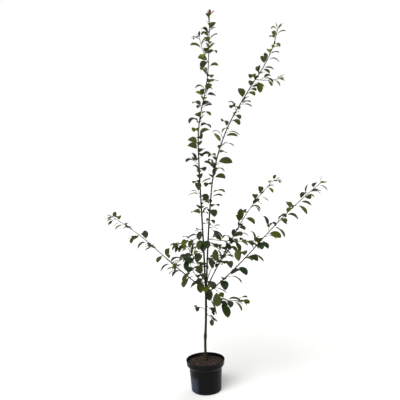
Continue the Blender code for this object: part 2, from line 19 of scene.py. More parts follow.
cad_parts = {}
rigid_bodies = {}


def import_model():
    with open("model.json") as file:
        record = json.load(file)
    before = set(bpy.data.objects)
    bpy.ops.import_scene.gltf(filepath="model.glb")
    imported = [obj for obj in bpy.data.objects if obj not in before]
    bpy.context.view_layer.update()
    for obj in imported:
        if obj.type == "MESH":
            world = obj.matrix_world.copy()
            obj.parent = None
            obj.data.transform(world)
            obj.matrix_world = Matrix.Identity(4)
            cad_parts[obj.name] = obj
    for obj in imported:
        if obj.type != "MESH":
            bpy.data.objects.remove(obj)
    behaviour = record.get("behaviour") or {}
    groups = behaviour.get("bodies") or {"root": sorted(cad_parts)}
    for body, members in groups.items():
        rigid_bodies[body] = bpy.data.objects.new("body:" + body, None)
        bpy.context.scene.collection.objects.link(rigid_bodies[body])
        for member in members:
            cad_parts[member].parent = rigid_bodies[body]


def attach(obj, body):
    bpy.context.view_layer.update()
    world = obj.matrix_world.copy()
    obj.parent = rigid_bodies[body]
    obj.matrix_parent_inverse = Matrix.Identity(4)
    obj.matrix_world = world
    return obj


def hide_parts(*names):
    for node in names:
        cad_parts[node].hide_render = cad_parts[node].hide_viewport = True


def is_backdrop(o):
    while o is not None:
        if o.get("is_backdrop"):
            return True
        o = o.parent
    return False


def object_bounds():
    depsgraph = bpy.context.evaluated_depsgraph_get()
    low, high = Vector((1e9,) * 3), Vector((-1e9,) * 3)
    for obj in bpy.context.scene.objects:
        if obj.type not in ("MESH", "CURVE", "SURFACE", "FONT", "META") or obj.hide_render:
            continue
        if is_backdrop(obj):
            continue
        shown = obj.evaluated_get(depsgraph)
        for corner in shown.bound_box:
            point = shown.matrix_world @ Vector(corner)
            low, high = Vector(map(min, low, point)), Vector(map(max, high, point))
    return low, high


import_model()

cad_low, cad_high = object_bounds()
BODY = "root"
print("frame box", [round(side, 3) for side in cad_high - cad_low], "m")

# %% [markdown]
# ## A few helpers
#
# Objects are linked and meshes are finished in the same way all through the lesson. Every piece
# of the tree rides on the one body and takes the place of some of the frame's nodes.

# %% Objects and meshes


def linked(name, data):
    """A new object in the scene that holds the data given."""
    made = bpy.data.objects.new(name, data)
    bpy.context.scene.collection.objects.link(made)
    return made


def mesh_of(shape, name):
    """The mesh of a finished bmesh."""
    mesh = bpy.data.meshes.new(name)
    shape.to_mesh(mesh)
    shape.free()
    return mesh


def points_mesh(name, places, edges=(), **facts):
    """A mesh of points and edges. Each fact is a list with a number or a vector for every point."""
    mesh = bpy.data.meshes.new(name)
    mesh.from_pydata(places, edges, [])
    for label, values in facts.items():
        if isinstance(values[0], Vector):
            flat = [number for value in values for number in value]
            mesh.attributes.new(label, "FLOAT_VECTOR", "POINT").data.foreach_set("vector", flat)
        else:
            mesh.attributes.new(label, "FLOAT", "POINT").data.foreach_set("value", values)
    return mesh


def make_plain(piece):
    """Turns what a piece's modifiers make of it into its own mesh."""
    bpy.context.view_layer.update()
    graph = bpy.context.evaluated_depsgraph_get()
    plain = bpy.data.meshes.new_from_object(piece.evaluated_get(graph))
    piece.modifiers.clear()
    piece.data = plain


def dress(piece, slot, *nodes):
    """Puts a piece on the body and in the place of the nodes given. The slot is not used."""
    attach(piece, BODY)
    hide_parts(*nodes)


# %% [markdown]
# ## A small kit for node trees
#
# Both Geometry Nodes and materials are graphs of nodes. Wiring them by hand in Python is wordy,
# so one small class adds a node, sets it and feeds it, and gives back the wire that comes out.
# Wires can be added and multiplied like numbers, and each step adds its own node. Only the sockets
# that are switched on count, because many nodes keep hidden ones for other modes.

# %% A node graph in the making


class Wire:
    """What comes out of a node: a number, a vector, a colour or a mesh."""

    def __init__(self, graph, socket):
        self.graph = graph
        self.socket = socket

    def step(self, operation, *others):
        """One step of arithmetic on this number or vector."""
        kind = "ShaderNodeMath" if self.socket.type == "VALUE" else "ShaderNodeVectorMath"
        return self.graph.add(kind, dict(enumerate((self, *others))), operation=operation)

    def __add__(self, other):
        return self.step("ADD", other)

    def __sub__(self, other):
        return self.step("SUBTRACT", other)

    def __mul__(self, other):
        """The product. A vector is multiplied by a tuple part by part, and scaled by a number."""
        by_parts = self.socket.type == "VALUE" or isinstance(other, tuple)
        return self.step("MULTIPLY" if by_parts else "SCALE", other)

    def __truediv__(self, other):
        return self.step("DIVIDE", other)

    def parts(self):
        """The three numbers of this vector."""
        split = self.graph.add("ShaderNodeSeparateXYZ", {0: self}).socket.node
        return [Wire(self.graph, socket) for socket in split.outputs]

    def noise(self, scale, detail=2.0, roughness=0.5):
        """Cloudy noise at this place, from 0 to 1."""
        feeds = {"Vector": self, "Scale": scale, "Detail": detail, "Roughness": roughness}
        return self.graph.add("ShaderNodeTexNoise", feeds)

    def between(self, low, high, to_low=0.0, to_high=1.0):
        """This number stretched from one range to another, and held at its ends."""
        feeds = {0: self, 1: low, 2: high, 3: to_low, 4: to_high}
        return self.graph.add("ShaderNodeMapRange", feeds)


class Graph:
    """Adds nodes to a node tree. A feed is a wire or a plain value."""

    def __init__(self, tree):
        self.tree = tree

    def add(self, kind, feeds=None, give=0, **settings):
        """A new node. `feeds` go by input name or place, and `give` picks the output."""
        node = self.tree.nodes.new(kind)
        for key, value in settings.items():
            setattr(node, key, value)
        inputs = [socket for socket in node.inputs if socket.enabled]
        for key, value in (feeds or {}).items():
            named = [socket for socket in inputs if socket.name == key]
            socket = named[0] if named else inputs[key]
            if isinstance(value, Wire):
                self.tree.links.new(value.socket, socket)
            else:
                socket.default_value = value
        outputs = [socket for socket in node.outputs if socket.enabled]
        named = [socket for socket in outputs if socket.name == give]
        return Wire(self, named[0] if named else outputs[give])

    def joined(self, x, y, z):
        """A vector from three numbers."""
        return self.add("ShaderNodeCombineXYZ", {0: x, 1: y, 2: z})


SOCKET_KINDS = {
    int: "NodeSocketInt",
    float: "NodeSocketFloat",
    bpy.types.Object: "NodeSocketObject",
}


class Growth(Graph):
    """A Geometry Nodes tree with named inputs. It takes a mesh and gives back a mesh."""

    def __init__(self, name, **inputs):
        super().__init__(bpy.data.node_groups.new(name, "GeometryNodeTree"))
        face = self.tree.interface
        for way in ("INPUT", "OUTPUT"):
            face.new_socket("Geometry", in_out=way, socket_type="NodeSocketGeometry")
        self.values = {}
        for label, value in inputs.items():
            made = face.new_socket(label, in_out="INPUT", socket_type=SOCKET_KINDS[type(value)])
            self.values[made.identifier] = value
        self.start = self.tree.nodes.new("NodeGroupInput")
        self.mesh = self.input("Geometry")
        self.place = self.add("GeometryNodeInputPosition")

    def input(self, label):
        """What a named input gives."""
        return Wire(self, self.start.outputs[label])

    def field(self, name, kind="FLOAT"):
        """An attribute that the mesh carries."""
        return self.add("GeometryNodeInputNamedAttribute", {"Name": name}, data_type=kind)

    def store(self, mesh, name, value):
        """The mesh with a number kept at each point under a name."""
        feeds = {"Geometry": mesh, "Name": name, "Value": value}
        return self.add("GeometryNodeStoreNamedAttribute", feeds, data_type="FLOAT", domain="POINT")

    def moved(self, mesh, **feeds):
        """The mesh with its points moved by an Offset or to a Position."""
        return self.add("GeometryNodeSetPosition", {"Geometry": mesh, **feeds})

    def real(self, mesh):
        """The mesh with every copy made real, so that the piece is one plain mesh."""
        return self.add("GeometryNodeRealizeInstances", {"Geometry": mesh})

    def copies(self, points, instance, **feeds):
        """Real copies of an instance, one at each point."""
        feeds = {"Points": points, "Instance": instance, **feeds}
        return self.real(self.add("GeometryNodeInstanceOnPoints", feeds))

    def finish(self, mesh, finish, selection=True):
        """The mesh with a material on the faces of a selection."""
        feeds = {"Geometry": mesh, "Selection": selection, "Material": finish}
        return self.add("GeometryNodeSetMaterial", feeds)

    def run(self, name, mesh):
        """A new object with the plain mesh that this tree makes of the one given."""
        end = self.tree.nodes.new("NodeGroupOutput")
        self.tree.links.new(self.result.socket, end.inputs["Geometry"])
        piece = linked(name, mesh)
        step = piece.modifiers.new("growth", "NODES")
        step.node_group = self.tree
        for identifier, value in self.values.items():
            step[identifier] = value
        make_plain(piece)
        print(name, "has", len(piece.data.polygons), "faces")
        return piece


# %% [markdown]
# ## The studio
#
# A product photograph has a pale floor and soft light from all round. The camera stands about
# where the photographer's did, a little over three metres away at chest height, and looks slightly
# down. A fit to the picture gave its pitch, its lens and its place from side to side. Its roll of
# two degrees levels the pot. The floor isn't part of the plant.

# %% Camera, floor and light
CAMERA_PLACE = (0.0062, -3.15, 1.39)
CAMERA_PITCH = -3.676
CAMERA_ROLL = -2.3
CAMERA_LENS = 46.49
SENSOR = 36.0
KEY = ((0.42, 0.74, -0.90), 3.0, 50.0)
BACK_FILL = ((-0.60, -0.70, -0.75), 0.9, 70.0)
FAR_COLOUR = (1.0, 0.985, 0.95)
PANEL_PLACE = (-1.2, -0.9, 0.30)
PANEL_AIM = (0, 0, 0.08)
PANEL_SIZE = 0.45
PANEL_POWER = 2.0
PANEL_COLOUR = (0.60, 0.70, 1.0)
ROOM_STRENGTH = 0.35
ROOM_COLOUR = (0.97, 0.98, 1.0, 1)
WHITE = (1.0, 1.0, 1.0, 1)
FLOOR_REACH = 60.0
FLOOR_DROP = 0.0004
FLOOR_COLOUR = (0.94, 0.94, 0.94, 1)


def stand_camera():
    """The camera at the photographer's place."""
    data = bpy.data.cameras.new("studio_camera")
    data.lens = CAMERA_LENS
    data.sensor_width = SENSOR
    camera = linked("studio_camera", data)
    tilt = Matrix.Rotation(math.radians(90 + CAMERA_PITCH), 4, "X")
    roll = Matrix.Rotation(math.radians(CAMERA_ROLL), 4, "Z")
    camera.matrix_world = Matrix.Translation(CAMERA_PLACE) @ tilt @ roll
    bpy.context.scene.camera = camera


def lamp(name, kind, way, energy, colour):
    """A light that shines along a direction."""
    data = bpy.data.lights.new(name, kind)
    data.energy = energy
    data.color = colour
    made = linked(name, data)
    made.rotation_euler = Vector(way).to_track_quat("-Z", "Y").to_euler()
    return made


def far_light(name, way, strength, softness):
    """A broad, soft light from far away, even over the whole floor."""
    lamp(name, "SUN", way, strength, FAR_COLOUR).data.angle = math.radians(softness)


def cool_panel():
    """A small square panel low on the left, which gives the pot its cool side."""
    way = Vector(PANEL_AIM) - Vector(PANEL_PLACE)
    made = lamp("cool_side", "AREA", way, PANEL_POWER, PANEL_COLOUR)
    made.data.size = PANEL_SIZE
    made.location = PANEL_PLACE


def white_room():
    """A room that looks white and lights the plant softly, with less power than it shows."""
    world = bpy.data.worlds.new("white_room")
    bpy.context.scene.world = world
    world.use_nodes = True
    graph = Graph(world.node_tree)
    shown = world.node_tree.nodes["Background"]
    shown.inputs["Color"].default_value = WHITE
    soft = graph.add("ShaderNodeBackground", {"Color": ROOM_COLOUR, "Strength": ROOM_STRENGTH})
    seen = graph.add("ShaderNodeLightPath", give="Is Camera Ray")
    mixed = graph.add("ShaderNodeMixShader", {0: seen, 1: soft, 2: Wire(graph, shown.outputs[0])})
    world.node_tree.links.new(mixed.socket, world.node_tree.nodes["World Output"].inputs["Surface"])


def pale_floor():
    """A wide white floor, a hair under the pot."""
    mesh = bpy.data.meshes.new("floor")
    corners = [(x * FLOOR_REACH, y * FLOOR_REACH, 0) for x, y in ((-1, -1), (1, -1), (1, 1), (-1, 1))]
    mesh.from_pydata(corners, [], [(0, 1, 2, 3)])
    floor = linked("floor", mesh)
    floor.location.z = -FLOOR_DROP
    pale = bpy.data.materials.new("pale_floor")
    pale.use_nodes = True
    shader = pale.node_tree.nodes["Principled BSDF"]
    shader.inputs["Base Color"].default_value = FLOOR_COLOUR
    shader.inputs["Roughness"].default_value = 0.9
    shader.inputs["Specular IOR Level"].default_value = 0.1
    mesh.materials.append(pale)
    floor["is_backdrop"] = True


bpy.context.scene.view_settings.view_transform = "Standard"
stand_camera()
white_room()
far_light("key", *KEY)
far_light("back_fill", *BACK_FILL)
pale_floor()
cool_panel()
print("camera at", CAMERA_PLACE)

# %% [markdown]
# ## How a young plum grows
#
# A plum shoot is a path that turns gently as it grows. Leaves stand on it in a spiral, two fifths
# of a turn apart. They get smaller, closer and more upright towards the tip. Here and there a
# short spur carries a fan of two or three. The frame was grown by this rule, so the rule is
# written again here with the same sizes and the same dice. Only the blades roll less.

# %% Stems and their headings
SEAT = 0.0003
STEP = 0.010
POT_HEIGHT = 0.195
SOIL_LEVEL = POT_HEIGHT - 0.020
TRUNK_LENGTH = 0.53


@dataclass
class Shoot:
    """One stem. It springs from its parent at a share of the parent's length."""

    name: str
    parent: str
    at: float
    headings: tuple
    length: float
    base: float
    tip: float = 0.0013
    bare: float = 0.0
    leaf: float = 0.080
    spacing: float = 0.063
    spurs: float = 0.22
    droop: float = 1.55
    side: float = 0.0
    twig: bool = False


def heading(bearing, rise):
    """The unit vector of a bearing and a rise above the level, in degrees."""
    level = math.cos(math.radians(rise))
    east = level * math.cos(math.radians(bearing))
    north = level * math.sin(math.radians(bearing))
    return Vector((east, north, math.sin(math.radians(rise))))


class Stem:
    """The path of a stem, with its radius along it. It turns evenly through the ways given."""

    def __init__(self, start, ways, length, base, tip, swellings=()):
        self.length = length
        self.base = base
        self.tip = tip
        self.swellings = list(swellings)
        steps = max(4, round(length / STEP))
        self.step = length / steps
        self.points = [Vector(start)]
        for index in range(steps):
            share = (index + 0.5) / steps * (len(ways) - 1)
            first = min(int(share), len(ways) - 2)
            way = ways[first].lerp(ways[first + 1], share - first).normalized()
            self.points.append(self.points[-1] + way * self.step)

    def point(self, along):
        """The place on the axis, that far along."""
        place = min(max(along / self.step, 0.0), len(self.points) - 1.0)
        first = min(int(place), len(self.points) - 2)
        return self.points[first].lerp(self.points[first + 1], place - first)

    def way(self, along):
        """The direction of growth, that far along."""
        ahead = self.point(min(along + self.step, self.length))
        behind = self.point(max(along - self.step, 0.0))
        return (ahead - behind).normalized()

    def plain_radius(self, along):
        """The taper alone."""
        return self.base + (self.tip - self.base) * along / self.length

    def radius(self, along):
        """The taper with its swellings."""
        swollen = self.plain_radius(along)
        for place, extra, reach in self.swellings:
            swollen += extra * math.exp(-(((along - place) / reach) ** 2))
        return swollen

    def nearest(self, place):
        """How far along the axis its point nearest to a place lies."""
        gaps = [(point - place).length for point in self.points]
        return gaps.index(min(gaps)) * self.step


# %% [markdown]
# ## The shoots of this tree
#
# The tree was grafted low, grew one clean trunk, and forked into two leading stems. Three long
# side shoots leave the top of the trunk, then shorter ones fill the middle. Each entry gives the
# turns that its shoot takes, its length and its thickness, and its name sets its dice. Many of
# these numbers began as a fit to the picture. Some of them were rounded or moved afterwards, and
# some weren't.

# %% The table of shoots
LEADER_HEADINGS = (
    (90, 88), (180, 89), (180, 89), (90, 88), (0, 74), (0, 86), (45, 86),
)
SECOND_HEADINGS = (
    (0, 86), (0, 85), (0, 83), (350, 71), (350, 57), (350, 54), (340, 77),
)
FORK_SPREAD = 0.0052
SPUR_BASE = 0.0016


def spur(name, parent, at, headings, length, leaf, spacing, **more):
    """A very short shoot that carries a few leaves."""
    facts = {"leaf": leaf, "spacing": spacing, **more}
    return Shoot(name + "_spur", parent, at, headings, length, SPUR_BASE, **facts)


LEADING = (
    Shoot(
        "leader", "trunk", 1.0, LEADER_HEADINGS, length=1.60, base=0.0049, tip=0.0015,
        bare=0.36, spacing=0.047, side=-FORK_SPREAD,
    ),
    Shoot(
        "second", "trunk", 1.0, SECOND_HEADINGS, length=1.58, base=0.0046, tip=0.0014,
        bare=0.37, spacing=0.046, side=FORK_SPREAD,
    ),
)
LONG = (
    Shoot(
        "left_long", "trunk", 0.85, ((150, 30), (150, 37), (150, 24)),
        length=0.84, base=0.0032, bare=0.11, spacing=0.060,
    ),
    Shoot(
        "right_long", "trunk", 0.80, ((330, 38), (330, 47), (330, 38)),
        length=1.00, base=0.0034, bare=0.13, spacing=0.053,
    ),
    Shoot(
        "right_inner", "trunk", 0.86, ((40, 52), (40, 48), (40, 30)),
        length=0.93, base=0.0033, bare=0.12, spacing=0.052,
    ),
)
SHORT = (
    Shoot("front_left", "trunk", 0.93, ((232, 28), (252, 44), (292, 56)), 0.400, 0.0024, droop=1.5),
    Shoot(
        "front_right", "trunk", 0.90, ((290, 20), (294, -20)),
        length=0.200, base=0.0022, leaf=0.096, spurs=0.0, droop=1.6,
    ),
    Shoot(
        "right_low", "trunk", 0.767, ((318, -20), (318, 15), (318, 5)),
        length=0.287, base=0.0021, leaf=0.082, spacing=0.046, droop=1.7,
    ),
    Shoot("back_left", "trunk", 0.955, ((122, 52), (126, 35)), length=0.300, base=0.0022),
    Shoot("back_right", "trunk", 0.905, ((66, 48), (62, 33)), length=0.300, base=0.0022),
)
SIDE = (
    Shoot(
        "left_middle", "leader", 0.100, ((205, -6), (205, -22)),
        length=0.190, base=0.0018, leaf=0.076, spacing=0.045, droop=1.7,
    ),
    Shoot(
        "left_upper", "leader", 0.167, ((212, -24), (212, 2)),
        length=0.200, base=0.0018, leaf=0.072, spacing=0.045,
    ),
    Shoot(
        "right_short", "second", 0.130, ((315, -4), (315, -24)),
        length=0.126, base=0.0016, leaf=0.072, spacing=0.040, droop=1.7,
    ),
    Shoot(
        "right_level", "second", 0.152, ((340, -8), (340, 6)),
        length=0.300, base=0.0019, leaf=0.074, spacing=0.045,
    ),
)
SPURS = (
    spur("low_left", "trunk", 0.614, ((200, 40), (196, 10)), 0.060, leaf=0.044, spacing=0.024),
    spur("low_right", "trunk", 0.576, ((325, -30), (325, -42)), 0.050, leaf=0.056, spacing=0.028),
    spur("front", "trunk", 0.670, ((300, -10), (304, -25)), 0.070, leaf=0.052, spacing=0.030),
    spur("leader_low", "leader", 0.14, ((236, 10), (236, -30)), 0.03, leaf=0.082, spacing=0.014, droop=2.4),
    spur("leader_mid", "leader", 0.186, ((222, 20), (222, 0)), 0.026, leaf=0.060, spacing=0.016),
    spur("leader_right", "leader", 0.208, ((345, 14), (345, -6)), 0.030, leaf=0.080, spacing=0.022),
    spur("second_low", "second", 0.196, ((335, 20), (335, 0)), 0.030, leaf=0.080, spacing=0.022),
    spur("second_back", "second", 0.070, ((60, 30), (60, 0)), 0.030, leaf=0.070, spacing=0.022),
)
TWIGS = (
    Shoot(
        "leader_twig", "leader", 0.823, ((160, 64), (160, 80)),
        length=0.166, base=0.0016, leaf=0.066, spacing=0.036, twig=True,
    ),
    Shoot(
        "second_twig", "second", 0.800, ((340, -16), (340, 8)),
        length=0.140, base=0.0015, leaf=0.066, spacing=0.034, twig=True,
    ),
)
SHOOTS = LEADING + LONG + SHORT + SIDE + SPURS + TWIGS
print(len(SHOOTS), "shoots in the table")

# %% [markdown]
# ## From the table to paths in space
#
# The trunk has a flared foot, the knee of the graft and a thickened fork. Those are swellings:
# smooth bumps that are added to an even taper. Every other stem starts on its parent's axis.

# %% Grow the paths
TRUNK_FOOT = (0.004, 0.020)
TRUNK_HEADINGS = ((200, 87), (345, 85), (340, 88), (330, 88))
TRUNK_RADII = (0.0074, 0.0064)
TRUNK_SWELLINGS = ((0.0, 0.0058, 0.022), (0.158, 0.0024, 0.018), (TRUNK_LENGTH, 0.0028, 0.060))


def all_stems():
    """Every stem by its name, each grown from its parent."""
    start = (*TRUNK_FOOT, SOIL_LEVEL + SEAT)
    ways = [heading(*pair) for pair in TRUNK_HEADINGS]
    stems = {"trunk": Stem(start, ways, TRUNK_LENGTH, *TRUNK_RADII, TRUNK_SWELLINGS)}
    for shoot in SHOOTS:
        parent = stems[shoot.parent]
        start = parent.point(shoot.at * parent.length) + Vector((shoot.side, 0, 0))
        ways = [heading(*pair) for pair in shoot.headings]
        if shoot.at == 1.0:
            start += ways[0] * SEAT * 2
        stems[shoot.name] = Stem(start, ways, shoot.length, shoot.base, shoot.tip)
    return stems


stems = all_stems()
print("stems run to", round(sum(stem.length for stem in stems.values()), 2), "m in all")

# %% [markdown]
# ## One leaf
#
# A leaf leaves its stem on a short stalk, then its blade arches over under its own weight. Three
# sections across its blade are enough to test whether it has room. The finished leaf follows
# nearly the same path with many more. A blade that would pass through itself is straightened a
# little.

# %% The leaf's path and its test shape
STALK_SHARE = 0.22
STALK_RADIUS = 0.0010
BLADE_HALF_WIDTH = 0.31
BLADE_THICKNESS = 0.020
BLADE_STATIONS = ((0.30, 0.86), (0.68, 0.95))
DROOP_EASE = 0.8
LEAST_FACING = 0.25
NEARLY_UPRIGHT = 0.05
DOWN = Vector((0, 0, -1))


@dataclass
class Leaf:
    """One leaf: its root on a stem's axis, the way its stalk leaves, and its size and bend."""

    root: Vector
    way: Vector
    length: float
    roll: float
    droop: float
    depth: float
    share: float = 0.0


def across(way):
    """Two unit vectors square to a direction: one level, and one as far up as it can be."""
    level = way.cross(Vector((0, 0, 1)))
    if level.length < NEARLY_UPRIGHT:
        level = Vector((1, 0, 0)) - way * way.x
    level.normalize()
    return level, level.cross(way).normalized()


def section(place, way, level, half, depth):
    """One triangle across a leaf: flat on one face, with the rib as a keel on the other."""
    side = (level - way * level.dot(way)).normalized()
    keel = place + side.cross(way) * depth
    return (place - side * half, place + side * half, keel)


def leaf_sections(leaf, swell=0.0):
    """The triangular sections of a leaf, root first, as (left, right, keel) points."""
    level, up = across(leaf.way)
    turn = Matrix.Rotation(math.radians(leaf.roll), 3, leaf.way)
    level = turn @ level
    keel_side = -1.0 if (turn @ up).z > 0 else 1.0
    stalk = leaf.length * STALK_SHARE + leaf.depth
    thick = leaf.length * BLADE_THICKNESS + swell
    stalk_half = STALK_RADIUS + swell
    sections = []
    place = leaf.root.copy()
    for run, half, depth in ((0.0, stalk_half, stalk_half), (stalk, stalk_half, stalk_half)):
        place = place + leaf.way * run
        sections.append(section(place, leaf.way, level, half, depth * keel_side))
    before = 0.0
    for share, width in BLADE_STATIONS + ((1.0, 0.0),):
        middle = (share + before) / 2
        way = (leaf.way + DOWN * leaf.droop * middle).normalized()
        place = place + way * leaf.length * (share - before)
        half = leaf.length * BLADE_HALF_WIDTH * width + swell
        sections.append(section(place, way, level, half, thick * keel_side))
        before = share
    return sections


def facing(triple, way):
    """The cosine between a section's own direction and another one."""
    left, right, keel = triple
    return (right - left).cross(keel - left).normalized().dot(way)


def folds(leaf):
    """Whether a leaf bends so sharply that its blade would pass through itself."""
    sections = leaf_sections(leaf)
    forward = facing(sections[0], leaf.way)
    for near, far in zip(sections[1:], sections[2:]):
        run = ((far[0] + far[1]) - (near[0] + near[1])).normalized()
        rims = [(far[corner] - near[corner]).dot(run) for corner in range(3)]
        if min(rims) < 0 or facing(near, run) * forward < LEAST_FACING:
            return True
        if far is not sections[-1] and facing(far, run) * forward < LEAST_FACING:
            return True
    return False


def bulging(points, quad, heart):
    """Two triangles over four corners, creased along the diagonal that lies further from the heart."""
    near, beside, far, last = quad
    a, b, c, d = (points[corner] for corner in quad)
    outward = (b - c).cross(a - d)
    if outward.dot((a + b + c + d) / 4 - heart) < 0:
        outward.negate()
    if (b + c - a - d).dot(outward) > 0:
        return [(near, far, beside), (beside, far, last)]
    return [(near, far, last), (near, last, beside)]


def leaf_shape(leaf, swell=0.0, from_section=0):
    """(points, faces) of the test shape of a leaf."""
    sections = leaf_sections(leaf, swell)[from_section:]
    tip = (sections[-1][0] + sections[-1][1]) / 2
    sections = sections[:-1]
    points = [corner for triple in sections for corner in triple] + [tip]
    last = len(points) - 1
    faces = [(0, 1, 2)]
    for ring in range(len(sections) - 1):
        heart = sum(points[ring * 3 : ring * 3 + 6], Vector()) / 6
        for corner in range(3):
            near = ring * 3 + corner
            beside = ring * 3 + (corner + 1) % 3
            faces += bulging(points, (near, beside, near + 3, beside + 3), heart)
    ring = (len(sections) - 1) * 3
    for corner in range(3):
        faces.append((ring + corner, last, ring + (corner + 1) % 3))
    return points, faces


# %% [markdown]
# ## The spiral of leaves
#
# `sprout` turns a place on the spiral into a direction. `stretch_of_leaves` walks along a stem
# and rolls the dice for each leaf or spur. The order of the rolls matters: with the same seed
# and the same order the computer deals the same tree every time.

# %% The rule of growth
GROWTH_SEED = 1
PHYLLOTAXIS = 144.0
PHYLLOTAXIS_SPREAD = 14
LEAF_LEAN = (50, 68)
LEAN_LOST = 18
FIRST_GAP = (0.2, 0.6)
LEAF_GAP = (0.75, 1.2)
GAP_LOST = 0.36
FIRST_LEAF = 1.06
LEAF_LOST = 0.30
TIP_LEAF_LOST = 0.20
FIRST_DROOP = 1.10
DROOP_LOST = 0.30
SPURS_LOST = 0.5
SIZE_SPREAD = (0.82, 1.10)
DROOP_SPREAD = (0.6, 1.4)
ROLL_SPREAD = 20
HANG = 0.10
SPUR_REACH = (0.010, 0.024)
SPUR_OVERLAP = 0.002
SPUR_COUNTS = (2, 3, 3)
SPUR_TURN_SPREAD = 20
SPUR_LEAN = 62
SPUR_OPENING = 0.85
SPUR_LEAF_SHARE = 0.84
TUFT_LENGTH = 0.008
TUFT_OVERLAP = 0.003
TUFT_LEAVES = 3
TUFT_LEAF_SHARE = 0.50
TUFT_LEAN = (14, 42)
TUFT_DROOP_SHARE = 0.35
SPUR_RADIUS = 0.0013


def sprout(stem, along, azimuth, lean):
    """A direction that leaves the stem at an azimuth round it, leaning away from its growth."""
    way = stem.way(along)
    side = Vector((0, 1, 0)).cross(way).normalized()
    front = way.cross(side)
    out = side * math.cos(math.radians(azimuth)) + front * math.sin(math.radians(azimuth))
    grown = way * math.cos(math.radians(lean)) + out * math.sin(math.radians(lean))
    grown.z -= HANG * math.hypot(way.x, way.y)
    return grown.normalized()


def new_leaf(root, way, length, droop, depth, dice):
    """A leaf with its own small differences in size, roll and droop."""
    size = length * dice.uniform(*SIZE_SPREAD)
    roll = dice.gauss(0, ROLL_SPREAD)
    leaf = Leaf(root, way.normalized(), size, roll, droop * dice.uniform(*DROOP_SPREAD), depth)
    while folds(leaf):
        leaf.droop *= DROOP_EASE
    return leaf


def stretch_of_leaves(shoot, stem, start, end, dice):
    """One stretch of growth: leaves and spurs in a spiral, smaller and closer towards the tip."""
    leaves = []
    twigs = []
    azimuth = dice.uniform(0, 360)
    along = start + shoot.spacing * dice.uniform(*FIRST_GAP)
    while along < end:
        share = along / shoot.length
        azimuth += PHYLLOTAXIS + dice.gauss(0, PHYLLOTAXIS_SPREAD)
        length = shoot.leaf * (FIRST_LEAF - LEAF_LOST * share**2 - TIP_LEAF_LOST * share**10)
        lean = dice.uniform(*LEAF_LEAN) - LEAN_LOST * share
        way = sprout(stem, along, azimuth, lean)
        root = stem.point(along)
        depth = stem.plain_radius(along)
        droop = shoot.droop * (FIRST_DROOP - DROOP_LOST * share)
        if dice.random() < shoot.spurs * (1 - SPURS_LOST * share):
            reach = depth + dice.uniform(*SPUR_REACH)
            tip = root + way * (reach - SPUR_OVERLAP)
            twigs.append(Stem(root, (way, way), reach, SPUR_RADIUS, SPUR_RADIUS))
            count = dice.choice(SPUR_COUNTS)
            for index in range(count):
                turn = azimuth + index * 360 / count + dice.gauss(0, SPUR_TURN_SPREAD)
                fan = way + sprout(stem, along, turn, SPUR_LEAN) * SPUR_OPENING
                leaves.append(new_leaf(tip, fan, length * SPUR_LEAF_SHARE, droop, 0.0, dice))
        else:
            leaves.append(new_leaf(root, way, length, droop, depth, dice))
            leaves[-1].share = share
        along += shoot.spacing * dice.uniform(*LEAF_GAP) * (1 - GAP_LOST * share)
    return leaves, twigs


def tuft_of_leaves(shoot, stem, dice):
    """The small upright leaves that end a stem."""
    leaves = []
    end = stem.point(stem.length - TUFT_OVERLAP)
    azimuth = dice.uniform(0, 360)
    length = shoot.leaf * TUFT_LEAF_SHARE
    droop = shoot.droop * TUFT_DROOP_SHARE
    for index in range(TUFT_LEAVES):
        turn = azimuth + 360 * index / TUFT_LEAVES
        way = sprout(stem, stem.length, turn, dice.uniform(*TUFT_LEAN))
        leaves.append(new_leaf(end, way, length, droop, 0.0, dice))
        leaves[-1].share = 1.0
    return leaves


def leaves_on(shoot, stem, dice):
    """(leaves, spur twigs) along one stem, from above its bare foot to the tuft at its end."""
    return stretch_of_leaves(shoot, stem, shoot.bare, shoot.length - TUFT_LENGTH, dice)


# %% [markdown]
# ## Room for every leaf
#
# Leaves don't grow through stems or through each other. A search tree of each shape answers that
# question fast. First come the leaves of the frame itself. Then a finer round fills the gaps
# between them with smaller leaves, and keeps only those that stay inside the frame.

# %% Place the leaves
FINER_FROM = 0.12
FINER_SPACING = 1.5
FINER_LEAF = 0.85
FINER_DROOP = 0.9
BOX_EASE = 0.92
LEAST_EASED = 0.55
TEST_SIDES = 6
TEST_SWELL = 1.1
TEST_FOOT = 0.006


def tree_of(shape):
    """A search tree of a shape, to test it against others."""
    points, faces = shape
    return BVHTree.FromPolygons(points, faces)


def tube_shape(stem, start, margin):
    """(points, faces) of a six-sided skin round a stem, for tests only."""
    count = max(2, math.ceil((stem.length - start) / STEP) + 1)
    points = []
    for index in range(count):
        along = start + (stem.length - start) * index / (count - 1)
        level, up = across(stem.way(along))
        radius = (stem.radius(along) + margin) * TEST_SWELL
        for corner in range(TEST_SIDES):
            turn = math.tau * corner / TEST_SIDES
            points.append(stem.point(along) + (level * math.cos(turn) + up * math.sin(turn)) * radius)
    faces = []
    for ring in range(count - 1):
        for corner in range(TEST_SIDES):
            near = ring * TEST_SIDES + corner
            beside = ring * TEST_SIDES + (corner + 1) % TEST_SIDES
            faces.append((near, beside, beside + TEST_SIDES, near + TEST_SIDES))
    return points, faces


